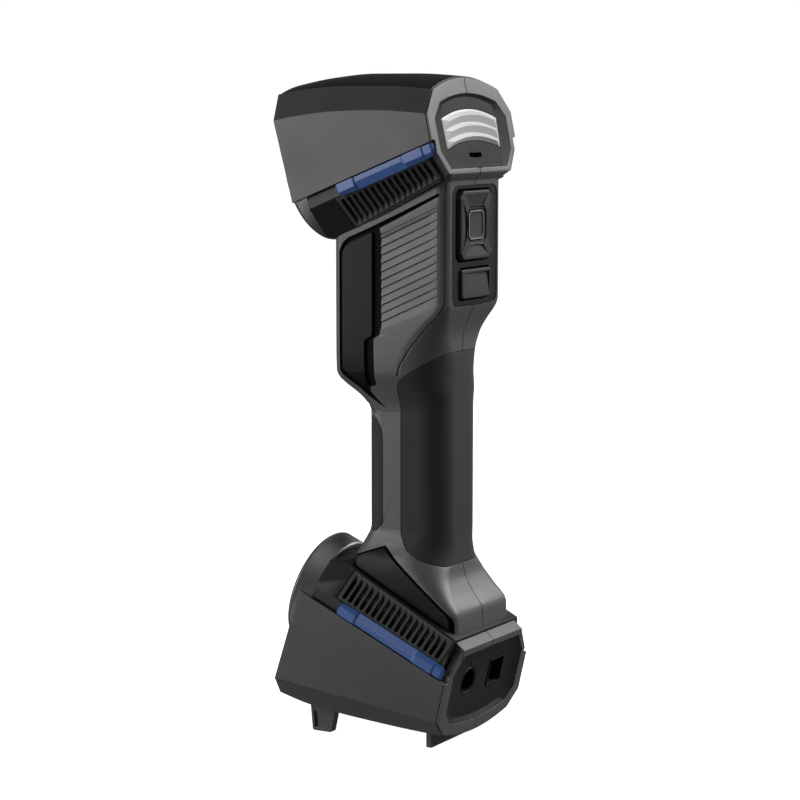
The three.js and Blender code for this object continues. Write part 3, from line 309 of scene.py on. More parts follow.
def turned(place, profile, steps, wobble=None):
    """A body of revolution from a closed profile of (radius, depth); wobble may vary the radius."""
    bm = bmesh.new()
    rows = []
    for i in range(steps):
        angle = 2 * math.pi * i / steps
        row = []
        for j, (radius, depth) in enumerate(profile):
            r = radius + (wobble(i, j) if wobble else 0)
            row.append(bm.verts.new(place @ Vector((r * math.cos(angle), r * math.sin(angle), depth))))
        rows.append(row)
    for i in range(steps):
        row, after = rows[i], rows[(i + 1) % steps]
        for j in range(len(profile)):
            k = (j + 1) % len(profile)
            bm.faces.new((row[j], after[j], after[k], row[k]))
    bmesh.ops.remove_doubles(bm, verts=bm.verts, dist=1e-4)
    bmesh.ops.recalc_face_normals(bm, faces=bm.faces)
    return bm


def disc(place, radius, low, high, steps=48):
    return prism(place, [(radius * math.cos(2 * math.pi * i / steps),
                          radius * math.sin(2 * math.pi * i / steps)) for i in range(steps)], low, high)


def mesh_from(name, bm):
    mesh = bpy.data.meshes.new(name)
    bm.to_mesh(mesh)
    bm.free()
    return mesh


def object_from(name, data):
    obj = bpy.data.objects.new(name, data)
    bpy.context.scene.collection.objects.link(obj)
    return obj


def merged(parts):
    """Several solids that don't touch, as one mesh."""
    result = bmesh.new()
    for part in parts:
        mesh = mesh_from("part", part)
        result.from_mesh(mesh)
        bpy.data.meshes.remove(mesh)
    return result


def temporary(bm):
    """An object for the boolean modifier, which needs flat faces: triangles always are."""
    flat = bm.copy()
    bmesh.ops.triangulate(flat, faces=flat.faces)
    return object_from("temporary", mesh_from("temporary", flat))


def boolean(bm, cutter, operation):
    target, tool = temporary(bm), temporary(cutter)
    modifier = target.modifiers.new("boolean", "BOOLEAN")
    modifier.operation = operation
    modifier.solver = "MANIFOLD"
    modifier.object = tool
    bpy.context.view_layer.update()
    result = bmesh.new()
    result.from_object(target, bpy.context.evaluated_depsgraph_get())
    for obj in (target, tool):
        mesh = obj.data
        bpy.data.objects.remove(obj)
        bpy.data.meshes.remove(mesh)
    if not result.faces:
        raise RuntimeError("a boolean left nothing")
    bm.free()
    return result


def cut(bm, *cutters):
    for cutter in cutters:
        bm = boolean(bm, cutter, "DIFFERENCE")
        cutter.free()
    return bm


def join(bm, *others):
    for other in others:
        bm = boolean(bm, other, "UNION")
        other.free()
    return bm


def keep(bm, other):
    bm = boolean(bm, other, "INTERSECT")
    other.free()
    return bm


def mirror_image(bm):
    copy = bm.copy()
    bmesh.ops.scale(copy, vec=(-1, 1, 1), verts=copy.verts)
    bmesh.ops.reverse_faces(copy, faces=copy.faces)
    return copy


def soften(bm, width, segments=2, sharper_than=30):
    """Rounds the edges that turn by more than sharper_than degrees."""
    bmesh.ops.remove_doubles(bm, verts=bm.verts, dist=SAME_PLACE)
    bmesh.ops.dissolve_degenerate(bm, edges=bm.edges, dist=SAME_PLACE)
    bmesh.ops.triangulate(bm, faces=[f for f in bm.faces if len(f.verts) > 4])
    limit = math.radians(sharper_than)
    edges = [e for e in bm.edges if len(e.link_faces) == 2 and e.calc_face_angle(0) > limit]
    bmesh.ops.bevel(bm, geom=edges, offset=width, offset_type="OFFSET", segments=segments,
                    profile=0.5, affect="EDGES", clamp_overlap=False)
    return bm


def from_node(node):
    """A copy of a CAD node's mesh in the design frame, with its doubled vertices merged."""
    bm = bmesh.new()
    bm.from_mesh(NODES[node].data)
    bmesh.ops.transform(bm, matrix=Matrix.Translation((0, -OFFSET_Y, 0)) @ Matrix.Scale(1 / MM, 4),
                        verts=bm.verts)
    bmesh.ops.remove_doubles(bm, verts=bm.verts, dist=SAME_PLACE)
    return bm


# ------------------------ materials


def linear(level):
    """A channel of an sRGB colour, 0 to 255, as a linear value."""
    c = level / 255
    return c / 12.92 if c <= 0.04045 else ((c + 0.055) / 1.055) ** 2.4


def colour_of(levels, factor=1.0):
    return (*[min(linear(c) * factor, 1) for c in levels], 1)


def surface(name, levels, roughness, grain=0.06, grain_size=0.35, mottle=0.08, wear=0.25, metallic=0,
            specular=0.4, sheen=0.0):
    """A moulded or machined surface: fine grain, gentle colour variation and lighter, worn edges.

    grain is the bump's depth and grain_size its scale, in millimetres.
    """
    material = bpy.data.materials.new(name)
    material.use_nodes = True
    nodes, links = material.node_tree.nodes, material.node_tree.links
    shader = nodes["Principled BSDF"]
    shader.inputs["Metallic"].default_value = metallic
    shader.inputs["Specular IOR Level"].default_value = specular
    shader.inputs["Sheen Weight"].default_value = sheen
    where = nodes.new("ShaderNodeTexCoord").outputs["Object"]

    def noise(scale, detail):
        node = nodes.new("ShaderNodeTexNoise")
        node.inputs["Scale"].default_value = scale
        node.inputs["Detail"].default_value = detail
        links.new(where, node.inputs["Vector"])
        return node.outputs["Fac"]

    def ramp(value, low, high, from_value, to_value):
        node = nodes.new("ShaderNodeMapRange")
        node.inputs["From Min"].default_value = low
        node.inputs["From Max"].default_value = high
        node.inputs["To Min"].default_value = from_value
        node.inputs["To Max"].default_value = to_value
        links.new(value, node.inputs["Value"])
        return node.outputs["Result"]

    broad = noise(38, 3)
    fine = noise(1 / (grain_size * MM), 2)
    tone = nodes.new("ShaderNodeMix")
    tone.data_type = "RGBA"
    tone.inputs["A"].default_value = colour_of(levels, 1 - mottle)
    tone.inputs["B"].default_value = colour_of(levels, 1 + mottle)
    links.new(ramp(broad, 0.3, 0.7, 0, 1), tone.inputs["Factor"])
    edge = nodes.new("ShaderNodeNewGeometry").outputs["Pointiness"]
    worn = nodes.new("ShaderNodeMath")
    worn.operation = "MULTIPLY"
    links.new(ramp(edge, 0.52, 0.62, 0, wear), worn.inputs[0])
    links.new(ramp(noise(160, 2), 0.35, 0.65, 0.3, 1), worn.inputs[1])
    lighter = nodes.new("ShaderNodeMix")
    lighter.data_type = "RGBA"
    lighter.inputs["B"].default_value = colour_of(levels, 2.2)
    links.new(worn.outputs["Value"], lighter.inputs["Factor"])
    links.new(tone.outputs["Result"], lighter.inputs["A"])
    links.new(lighter.outputs["Result"], shader.inputs["Base Color"])
    links.new(ramp(broad, 0.3, 0.7, roughness - 0.04, roughness + 0.05), shader.inputs["Roughness"])
    bump = nodes.new("ShaderNodeBump")
    bump.inputs["Strength"].default_value = 0.6
    bump.inputs["Distance"].default_value = grain * MM
    links.new(fine, bump.inputs["Height"])
    links.new(bump.outputs["Normal"], shader.inputs["Normal"])
    return material


MATERIALS = {
    "shell": surface("shell_plastic", (72, 72, 73), 0.44),
    "wing": surface("wing_plastic", (57, 57, 58), 0.44),
    "crown": surface("crown_plastic", (15, 15, 16), 0.46, specular=0.15),
    "chassis": surface("chassis_plastic", (20, 20, 21), 0.42, specular=0.25),
    "vent": surface("vent_plastic", (50, 50, 51), 0.5, specular=0.3),
    "accent": surface("accent_plastic", (52, 82, 138), 0.4, grain=0.02, mottle=0.04, wear=0.12),
    "grip": surface("grip_rubber", (36, 36, 37), 0.68, grain=0.05, grain_size=0.25, sheen=0.05,
                    specular=0.25),
    "panel": surface("panel_plastic", (14, 14, 15), 0.42, grain=0.02, specular=0.12),
    "dish": surface("dish_plastic", (36, 36, 37), 0.5, grain=0.04, specular=0.08),
    "key": surface("key_silicone", (44, 44, 45), 0.62, grain=0.03, specular=0.25),
    "socket": surface("socket_plastic", (12, 12, 13), 0.5, grain=0.02, specular=0.2),
    "ring": surface("ring_aluminium", (108, 108, 110), 0.46, metallic=1, grain=0.01, wear=0.3),
    "metal": surface("machined_aluminium", (160, 161, 163), 0.35, metallic=1, grain=0.01),
    # Painted highlight: a light grey for the thin ring round the select key, standing for the bright edge
    # highlight of its rim
    "rim": surface("painted_key_highlight", (150, 150, 152), 0.4, grain=0.01, wear=0),
    "glass": surface("coated_glass", (12, 14, 20), 0.12, grain=0.0005, mottle=0.03, wear=0, specular=0.3),
    "guide": surface("frosted_guide", (168, 169, 170), 0.4, grain=0.01, mottle=0.02, wear=0.05),
    "board": surface("solder_mask", (28, 82, 48), 0.4, grain=0.02),
    # Painted shade: a flat near-black for the channel, the seam and the grooves round the name and neck
    # panels, where the recesses are dark only from shade
    "black": surface("painted_recess_shade", (8, 8, 9), 0.8, grain=0.02, wear=0, specular=0.1),
}

# ------------------------ pieces


def shade(obj, sharp=38):
    """Smooth shading that keeps flat faces flat and sharp edges sharp."""
    mesh = obj.data
    for polygon in mesh.polygons:
        polygon.use_smooth = True
    mesh.set_sharp_from_angle(angle=math.radians(sharp))
    modifier = obj.modifiers.new("normals", "WEIGHTED_NORMAL")
    modifier.keep_sharp = True


def piece(name, bm, material, nodes, body="housing"):
    """Turns a solid in the design frame into a piece that stands for CAD nodes."""
    bmesh.ops.transform(bm, matrix=Matrix.Scale(MM, 4) @ Matrix.Translation((0, OFFSET_Y, 0)),
                        verts=bm.verts)
    mesh = mesh_from(name, bm)
    mesh.materials.append(MATERIALS[material])
    obj = object_from(name, mesh)
    shade(obj)
    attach(obj, body)
    if nodes:
        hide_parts(*nodes)
    return obj


def pair(name, bm, material, node=None):
    """A piece on the left, at +X, and its mirror image on the right."""
    for side, mesh in (("left", bm), ("right", mirror_image(bm))):
        piece(f"{name}_{side}", mesh, material, [f"{node}_{side}"] if node else [])


# ------------------------ grip column

COLUMN_CURVES = [curve_through([row[0] for row in COLUMN], [row[i] for row in COLUMN])
                 for i in range(1, 6)]


def column_heights():
    heights = [COLUMN[0][0]]
    for low, high in zip(COLUMN, COLUMN[1:]):
        steps = 1 if low[1:] == high[1:] else math.ceil((high[0] - low[0]) / STATION_STEP)
        heights += [low[0] + (high[0] - low[0]) * (i + 1) / steps for i in range(steps)]
    return heights


def column_ring(z, inset, place_z):
    half, front, back, front_radius, back_radius = [curve(z) for curve in COLUMN_CURVES]
    ring = []
    corners = [(1, back, back_radius, 0, -1), (-1, back, back_radius, 1, -1),
               (-1, front, front_radius, 2, 1), (1, front, front_radius, 3, 1)]
    for side, face, radius, quarter, inwards in corners:
        r = max(radius - inset, 0.8)
        x = side * (half - inset - r)
        y = face + inwards * (inset + r)
        for i in range(CORNER_STEPS + 1):
            angle = math.pi / 2 * (quarter + i / CORNER_STEPS)
            ring.append(Vector((x + r * math.cos(angle), y + r * math.sin(angle), place_z)))
    return ring


def column(inset, overrun=0.0):
    heights = column_heights()
    levels = list(heights)
    levels[0] -= overrun
    levels[-1] += overrun
    return loft([column_ring(z, inset, level) for z, level in zip(heights, levels)])


def shelf():
    return prism(SIDE, SHELF, -SHELF_HALF, SHELF_HALF)


def under_frame():
    rings = []
    for z, half, back, corner in UNDER_FRAME:
        ring = [(half, UNDER_FRAME_START), (half, back - corner), (half - corner, back)]
        ring += [(-x, y) for x, y in reversed(ring)]
        rings.append([Vector((x, y, z)) for x, y in ring])
    return loft(rings)


def front_block(half, heights, by=0):
    """A block through the column's front face, larger by the same distance on each side."""
    return block((-half - by, half + by), (-REACH, FRONT_LIMIT), (heights[0] - by, heights[1] + by))


def keypad_outline(by=0):
    return rounded(rectangle(0, KEYPAD_Z, KEYPAD_HALF + by, KEYPAD_HALF_HEIGHT + by), KEYPAD_CORNER + by)


def pocket(outline, depth, start, by, corner=1.4):
    return cut(prism(SIDE, rounded(offset(outline, by), corner), start, REACH), column(depth, REACH))


def skin(outline, outer, depth, start, corner=1.2):
    """The column's skin over an outline, from an inset below the surface down to a depth."""
    region = prism(SIDE, rounded(outline, corner), start, REACH)
    return cut(keep(region, column(outer)), column(depth, REACH))


REAR_OUTLINES = {
    "upper": {
        "frame": arched([(27.4, -17.8), (34.6, -8.6), (34.6, -3), (WING_HALF, -3), (WING_HALF, 8.2)],
                        28.3, 18.4, 23.4),
        "core": arched([(27, -17.4), (34, -8.4), (34, 6.8)], 26, 15.4, 20.4),
        "inset": arched([(24.9, -15.6), (31.2, -7.9), (31.5, 6)], 24.8, 12.8, 16.6),
        "floor": arched([(21.8, -14.5), (25.8, -7.2), (25.6, 6)], 23.2, 11.4, 15.4),
    },
    "lower": {
        "frame": arched([(26.8, 19), (34.4, 8.6), (34.4, 6.2), (WING_HALF, 6.2), (WING_HALF, -11.8)],
                        28.9, -19.2, -23.2),
        "core": arched([(26.4, 18.6), (34, 8.2), (34, -10.4)], 26.5, -16.4, -20),
        "inset": arched([(24.6, 16.6), (31.4, 8.6), (31, -9.2)], 24.9, -14.8, -17.6),
        "floor": arched([(21.8, 13.2), (26.6, 6.6), (26.6, -8.4)], 22.4, -13.2, -15.8),
    },
}


def rear_slab(head, name):
    place = rear_frame(head)
    outlines = REAR_OUTLINES[name]
    return join(prism(place, outlines["frame"], -FRAME_LIP, 0),
                prism(place, outlines["core"], -FRAME_THICK, -FRAME_LIP / 2))


def corner_groove():
    """A cutter for the groove that runs down the back corner and out across the side."""
    rings = []
    for z, turn in GROOVE:
        half, _, back, _, radius = [curve(z) for curve in COLUMN_CURVES]
        out = Vector((math.cos(math.radians(turn)), math.sin(math.radians(turn)), 0))
        across = Vector((-out.y, out.x, 0))
        middle = Vector((half - radius, back - radius, z)) + out * radius
        width, depth = GROOVE_SIZE
        rings.append([middle + across * side * width / 2 + out * rise
                      for side, rise in ((1, 1), (1, 0), (0.3, -depth), (-0.3, -depth), (-1, 0), (-1, 1))])
    return loft(rings)


def name_crease():
    """A cutter for the shallow crease in the rim under the name panel."""
    region = prism(SIDE, NAME_CREASE, PANEL_START, REACH)
    return cut(region, column(CREASE_DEPTH, REACH))


def shell_half():
    body = join(column(0), shelf())
    body = cut(body, column(SHELL_WALL, 2))
    depth = INLAY + GAP
    body = cut(body, pocket(REAR_GRIP, depth, -REACH, FINE_GAP),
               pocket(FRONT_GRIP, depth, -REACH, FINE_GAP),
               pocket(NAME_RECESS, depth, PANEL_START, 0, 0.8),
               pocket(RIB_PLATE, depth, PANEL_START, FINE_GAP / 2, 0.3),
               pocket(NECK_RECESS, depth, PANEL_START, 0, 1),
               pocket(NAME_WEDGE, INLAY, PANEL_START, 0, 0.1),
               name_crease(),
               cut(block((PANEL_START, REACH), *RIB_END_SLOT), column(depth, REACH)))
    body = cut(body, corner_groove(),
               cut(prism(SIDE, CHANNEL, PANEL_START, REACH), column(CHANNEL_DEPTH, REACH)))
    opening = front_block(COVER_HALF, COVER_HEIGHTS, GAP)
    body = cut(body, cut(opening, column(depth, REACH)), front_block(WINDOW_HALF, WINDOW_HEIGHTS, -1))
    body = cut(body, prism(BACK, keypad_outline(FINE_GAP), 29, REACH))
    body = join(body, under_frame())
    for name, head in HEADS.items():
        body = join(body, rear_slab(head, name))
        body = cut(body, prism(rear_frame(head), REAR_OUTLINES[name]["inset"], -15, 15))
    return keep(body, block((GAP / 2, REACH), (-REACH, REACH), (-REACH, 6 * REACH)))


pair("shell", soften(shell_half(), 0.22), "shell", "shell")

# A strip that closes the seam between the halves above the upper rear recess; its near-black is painted
# shade for the dark inside of the seam
seam_outline = rectangle(0, SEAM_V, GAP / 2 - 0.03, SEAM_HALF_HEIGHT)
seam_strip = prism(rear_frame(HEADS["upper"]), seam_outline, -FRAME_LIP + 0.2, -0.8)
piece("upper_seam_strip", seam_strip, "black", [])

# The floor of the channel above the ribs, near-black: painted shade for the deep channel
channel_floor = keep(prism(SIDE, offset(CHANNEL, -SLACK), PANEL_START, REACH), column(CHANNEL_DEPTH - 0.9))
channel_floor = cut(channel_floor, column(CHANNEL_DEPTH - SLACK, REACH))
pair("side_channel", channel_floor, "black")

# Rubber grips
for name, outline in (("rear_grip", REAR_GRIP), ("front_grip", FRONT_GRIP)):
    piece(name, soften(skin(outline, GRIP_INSET, INLAY, -REACH), 0.35), "grip", [name])


# Ribbed plates: each rib swells towards its lower edge and steps back, and fades out at the rear
RIB_STEP = [(0.04, 0.72), (0.17, 0.66), (0.5, 0.3), (0.98, 0)]
RIB_FADE = [(0, 1), (0.82, 1), (0.93, 0.45), (1, 0.1)]
RIB_LAND = 0.42
RIB_FACE = BODY_HALF - SLACK


def rib_plate():
    (front, top), (back, top_back), _, (_, low) = RIB_PLATE
    pitch = (top - low) / (RIB_COUNT + 0.5)
    rings = []
    for share, strength in RIB_FADE:
        y = front + (back - front) * share
        rise = (top_back - top) * share
        face = [(RIB_FACE, top), (RIB_FACE, top - pitch * RIB_LAND)]
        for i in range(RIB_COUNT):
            z = top - pitch * (i + RIB_LAND)
            face += [(RIB_FACE - depth * strength, z - pitch * down) for down, depth in RIB_STEP]
        face[-1] = (RIB_FACE, low)
        outline = face + [(BODY_HALF - INLAY, low), (BODY_HALF - INLAY, top)]
        rings.append([Vector((x, y, z + rise)) for x, z in outline])
    return loft(rings)


pair("rib_plate", soften(rib_plate(), 0.05, 1), "wing", "rib_plate")

# Name panels: a glossy face standing in a recess whose near-black floor is painted shade for the groove
# round the face
name_base = join(skin(offset(NAME_RECESS, -SLACK), NAME_FLOOR, INLAY + GAP - SLACK, PANEL_START, 0.8),
                 skin(offset(NAME_WEDGE, -SLACK), NAME_BACK, INLAY - SLACK, PANEL_START, 0.1))
pair("name_panel_base", name_base, "black", "name_panel")
name_face = soften(skin(NAME_FACE, NAME_TOP, NAME_BACK, PANEL_START, 0.8), 0.2)
pair("name_panel_face", name_face, "panel")

# The neck panel's recess floor is near-black too: painted shade for the groove round its face
neck_base = skin(offset(NECK_RECESS, -SLACK), NECK_FLOOR, INLAY, PANEL_START, 1)
pair("neck_panel_base", neck_base, "black", "neck_panel")
neck_face = soften(skin(NECK_FACE, NECK_TOP, NECK_BACK, PANEL_START, 1), 0.25)
pair("neck_panel_face", neck_face, "panel")

# Front cover and laser window
cover = cut(keep(front_block(COVER_HALF, COVER_HEIGHTS), column(0)), column(INLAY, REACH))
cover = cut(cover, front_block(WINDOW_HALF, WINDOW_HEIGHTS, GAP))
piece("front_cover", soften(cover, 0.2), "panel", ["front_cover"])
window = keep(front_block(WINDOW_HALF, WINDOW_HEIGHTS), column(WINDOW_INSET))
window = cut(window, column(INLAY, REACH))
piece("laser_window", soften(window, 0.15), "glass", ["laser_window"])

# ------------------------ heads


def head_curves(head):
    ys = [row[0] for row in head["stations"]]
    return [curve_through(ys, [row[i] for row in head["stations"]]) for i in (1, 2, 3)]


def plane_at(plane, z, by):
    return plane[0] + plane[2] * (z - plane[1]) + by


def line_between(head, height_at, front_by, rear_by, share):
    """A point (y, z) on a line along a head, from 0 at its front plane to 1 at its rear plane."""
    ends = []
    for plane, by in ((head["front_plane"], front_by), (head["rear_plane"], rear_by)):
        y = plane[0]
        for _ in range(6):
            y = plane_at(plane, height_at(y), by)
        ends.append(y)
    y = ends[0] + (ends[1] - ends[0]) * share
    return y, height_at(y)


def head_sheet(head, lines, front_by, rear_by, steps=24):
    """A solid whose long edges are lines (x, height_at) between a head's front and rear planes."""
    rings = []
    for i in range(steps + 1):
        ring = []
        for x, height_at in lines:
            y, z = line_between(head, height_at, front_by, rear_by, i / steps)
            ring.append(Vector((x, y, z)))
        rings.append(ring)
    return loft(rings)


def crown(head):
    """The arched cover over a head, set back a little behind its front plane."""
    crown_z, shoulder_z, _ = head_curves(head)
    wall = head["up"] * COVER_WALL
    half = SHOULDER_HALF - GAP
    steps = 16

    def line(t, drop):
        return (half * t, lambda y: crown_z(y) + (shoulder_z(y) - crown_z(y)) * t * t - drop)

    shares = [i / steps for i in range(-steps, steps + 1)]
    lines = [line(t, 0) for t in shares] + [line(t, wall) for t in reversed(shares)]
    return head_sheet(head, lines, CROWN_SETBACK, -FRAME_LIP - GAP)


def wing(head):
    """A head's side: the sloping part below the shoulder and the upright part next to it."""
    _, shoulder_z, wing_z = head_curves(head)
    up = head["up"]
    base, slope = head["wing_line"]
    inner = WING_HALF - COVER_WALL
    knee, shoulder = 1.1, 2.6

    def edge(y):
        return base + slope * y

    lines = [(SHOULDER_HALF, shoulder_z), (WING_HALF, wing_z), (WING_HALF, edge), (inner, edge),
             (inner, lambda y: wing_z(y) - up * knee),
             (SHOULDER_HALF, lambda y: shoulder_z(y) - up * shoulder)]
    return head_sheet(head, lines, 0, -FRAME_LIP - GAP)


def vent_frame(head):
    """The slope that carries the vents on the left, and its length at a place along it.

    u runs along the wing line and v down the slope.
    """
    up = head["up"]
    base, slope = head["wing_line"]
    foot_z, foot_slope, foot_half, spread = head["foot"]
    origin = Vector((CHASSIS_HALF, 0, base - up * STRIP_HEIGHT))
    along = Vector((0, 1, slope)).normalized()
    drop = Vector((foot_half, 0, foot_z)) - origin
    foot_run = Vector((spread, 1, foot_slope))
    down = (drop - along * drop.dot(along)).normalized()
    out = along.cross(down)
    if out.x < 0:
        out.negate()

    def length_at(s):
        y = (s - drop.dot(along)) / foot_run.dot(along)
        return drop.dot(down) + y * foot_run.dot(down)

    return frame_of(origin, along, down, out), length_at


SLOT_SHARE = 0.3


def slot_cutter(place, middle, half, top, bottom):
    """A vent slot with a round upper end and a ramp up to the surface at its lower end."""
    rings = []
    through, ramp_floor, ramp = -3, -2.2, 3.6
    steps = 4
    for i in range(-steps, steps + 1):
        s = i / steps
        start = top + half * (1 - math.sqrt(max(0, 1 - s * s)))
        profile = [(start, 1), (start, through), (bottom - ramp - 0.2, through),
                   (bottom - ramp, ramp_floor), (bottom, SLACK), (bottom + 0.4, 1)]
        rings.append([place @ Vector((middle + half * s, v, n)) for v, n in profile])
    return loft(rings)


def grille(head):
    place, length_at = vent_frame(head)
    stretch = math.hypot(1, head["wing_line"][1])
    start, end = [y * stretch for y in head["vent_span"]]
    border, thickness = 0.8, 2
    plate = prism(place, [(start, border), (end, border), (end, length_at(end) - border),
                          (start, length_at(start) - border)], -thickness, 0)
    side, upper, lower = 1.2, 1.9, 1.6
    pitch = (end - start - 2 * side) / head["slots"]
    slots = []
    for i in range(head["slots"]):
        middle = start + side + pitch * (i + 0.5)
        slots.append(slot_cutter(place, middle, pitch * SLOT_SHARE, upper, length_at(middle) - lower))
    return cut(plate, column(-GAP), merged(slots))


def strip(head):
    """The accent strip: raised ends, a thinner middle and a lower face that slopes inwards."""
    up = head["up"]
    base, slope = head["wing_line"]
    stretch = math.hypot(1, slope)
    along = Vector((0, 1, slope)).normalized()
    away = Vector((0, slope * up, -up)).normalized()
    place = frame_of((0, 0, base), along, away, (1, 0, 0))
    start, end = [y * stretch for y in head["strip_span"]]
    inner, outer, low = CHASSIS_HALF + GAP, WING_HALF - 0.3, WING_HALF - 0.8
    raised, thin, foot = 4.1, 2.6, 6
    tip = (2.4, 3.4)
    stations = [(start, *tip, outer - 0.8), (start + 1, raised, foot - 0.4, outer),
                (start + 9.4, raised, foot, outer), (start + 10.2, thin, foot, low),
                (end - 16.4, thin, foot, low), (end - 15.2, raised, foot, outer),
                (end - 5.6, raised, foot, outer), (end - 5.2, raised, foot - 0.1, low),
                (end - 1.4, raised, foot - 0.3, low), (end, *tip, low - 0.6)]
    rings = []
    for s, face_end, foot_end, x in stations:
        profile = [(GAP, inner), (GAP, x), (face_end, x), (foot_end, inner + 0.15), (foot_end, inner)]
        rings.append([place @ Vector((s, v, n)) for v, n in profile])
    return loft(rings)


KNURL_RIBS = 240
RIB_SAMPLES = 4
# Profiles behind the front rim, as (radius, depth)
LENS_GLASS = [(8.4, -4.4), (20.1, -4.4), (20.1, -3.1), (19.9, -2.9), (8.6, -2.9), (8.4, -3.1)]
CAMERA_BARREL = [(0, -17), (9.2, -17), (9.2, -12.5), (7.9, -12), (7.9, -2.8), (7.7, -2.6), (6.9, -2.6),
                 (6.7, -2.9), (5.7, -5.4), (4, -4.95), (2, -4.7), (0, -4.6)]


def lens_ring(head):
    """The knurled ring: a band of fine ribs behind a bevelled front rim."""
    front, rear, bore, depth = 27.4, 25.9, 23.6, 11
    profile = [(bore, -depth), (rear - 0.5, -depth), (rear, -depth + 0.5), (rear + 0.15, -depth + 0.9),
               (front - 0.25, -1.9), (front - 0.1, -1.6), (front - 0.35, -0.9), (front - 1.1, -0.1),
               (front - 1.5, 0), (bore + 0.9, 0), (bore, -0.8)]

    def knurl(i, j):
        on_the_band = j in (3, 4)
        if not on_the_band:
            return 0
        return KNURL * math.cos(2 * math.pi * i / RIB_SAMPLES)

    return turned(lens_frame(head), profile, KNURL_RIBS * RIB_SAMPLES, knurl)


for name, head in HEADS.items():
    lens = lens_frame(head)
    pair(f"{name}_wing", soften(wing(head), 0.3), "wing", f"{name}_wing")
    pair(f"{name}_vent", soften(grille(head), 0.12, 1), "vent", f"{name}_vent")
    pair(f"{name}_accent_strip", soften(strip(head), 0.18, 2, 20), "accent", f"{name}_accent_strip")
    chassis = soften(from_node(f"{name}_chassis"), 0.25)
    piece(f"{name}_chassis_body", chassis, "chassis", [f"{name}_chassis"])
    piece(f"{name}_knurled_ring", lens_ring(head), "ring", [f"{name}_lens_ring"])
    piece(f"{name}_lens_glass", turned(lens, LENS_GLASS, 96), "glass", [f"{name}_front_window"])
    piece(f"{name}_camera_barrel", turned(lens, CAMERA_BARREL, 64), "glass", [f"{name}_camera_lens"])

piece("upper_crown_cover", soften(crown(HEADS["upper"]), 0.3), "crown", ["upper_crown"])


TAB = [(-34.6, 0), (-24.8, 0), (-22, 12.6), (-36, 14.6)]
TAB_FIELD = [(-34.6, 0), (-24.8, 0), (-22.8, 9), (-35.6, 10.8)]
TAB_INNER, TAB_OUTER, TAB_EDGE, TAB_FIELD_DEPTH = 16, 20, 1.5, 1.2
REAR_FOOT = ((-20, 20), (24.2, 27), (0, 9.2))


def base_cover():
    """The lower head's crown with two front tabs, each with a sunken field, and a rear bar to stand on."""
    field = rounded(offset(TAB_FIELD, -TAB_EDGE), 0.5)
    tab = cut(prism(SIDE, rounded(TAB, 1), TAB_INNER, TAB_OUTER),
              prism(SIDE, field, TAB_OUTER - TAB_FIELD_DEPTH, REACH))
    other = mirror_image(tab)
    return join(crown(HEADS["lower"]), tab, other, block(*REAR_FOOT))


piece("base_cover_with_feet", soften(base_cover(), 0.25), "wing", ["base_cover"])

# ------------------------ rear faces


def dish(name, rim, floor, back):
    """A tray whose sides slope from the rear frame's opening down to a flat floor."""
    place = rear_frame(HEADS[name])
    outer = offset(REAR_OUTLINES[name]["inset"], -FINE_GAP)
    inner = REAR_OUTLINES[name]["floor"]
    rings = [(outer, back), (outer, rim), (inner, floor)]
    return loft([[place @ Vector((u, v, n)) for u, v in outline] for outline, n in rings])


# The arches at the light guide's top and bottom: half width, height at the side, height in the middle
GUIDE_TOP = (24.2, 5.9, 10)
GUIDE_BOTTOM = (23.4, -7.2, -3.6)


def guide_curve(share, steps=14):
    """The arch at a share of the way down the light guide."""
    return arch(*[a + (b - a) * share for a, b in zip(GUIDE_TOP, GUIDE_BOTTOM)], steps)


GUIDE_FACE, GUIDE_FLOOR, GUIDE_BACK = 0.3, -1.1, -4.2
GUIDE_CHAMFER = 4.8


def light_guide():
    """Three ribs, each a short tread above a long slope, arched on the face, with sloping ends."""
    place = rear_frame(HEADS["upper"])
    floor, face = GUIDE_FLOOR, GUIDE_FACE
    low = floor + 0.25
    levels = [(0, floor), (0.07, low), (0.185, face), (0.2, face), (0.41, low), (0.53, face),
              (0.545, face), (0.75, low), (0.87, face), (0.89, face), (1, floor)]
    rings = []
    for share, level in levels:
        curve = guide_curve(share, 22)
        front = [place @ Vector((u, v, level)) for u, v in curve]
        rear = [place @ Vector((u, v, GUIDE_BACK)) for u, v in reversed(curve)]
        rings.append(front + rear)
    return cut(loft(rings), *[end_wedge(place, side) for side in (-1, 1)])


def end_wedge(place, side):
    """A cutter that slopes an end of the light guide from its face down to its floor."""
    rings = []
    for v in (-30, 30):
        share = (GUIDE_TOP[1] - v) / (GUIDE_TOP[1] - GUIDE_BOTTOM[1])
        half = GUIDE_TOP[0] + (GUIDE_BOTTOM[0] - GUIDE_TOP[0]) * share
        run = [(half - GUIDE_CHAMFER, GUIDE_FACE + 0.05), (half, GUIDE_FLOOR),
               (half + 4, 2 * GUIDE_FLOOR - GUIDE_FACE), (half + 4, 4), (half - GUIDE_CHAMFER, 4)]
        rings.append([place @ Vector((side * u, v, n)) for u, n in run])
    return loft(rings)


upper_place = rear_frame(HEADS["upper"])
lower_place = rear_frame(HEADS["lower"])

LANYARD_SLOT = rounded(rectangle(0, -10, 5.4, 1.05), 0.95)
guide_outline = guide_curve(0) + guide_curve(1)[::-1]
upper_dish = cut(dish("upper", -0.15, GUIDE_FLOOR, -3.4),
                 prism(upper_place, offset(guide_outline, GAP), -6, 2),
                 prism(upper_place, LANYARD_SLOT, -6, 2))
piece("upper_rear_dish", soften(upper_dish, 0.12), "dish", ["upper_rear_panel"])
piece("ribbed_light_guide", soften(light_guide(), 0.07, 2, 14), "guide", ["light_guide"])

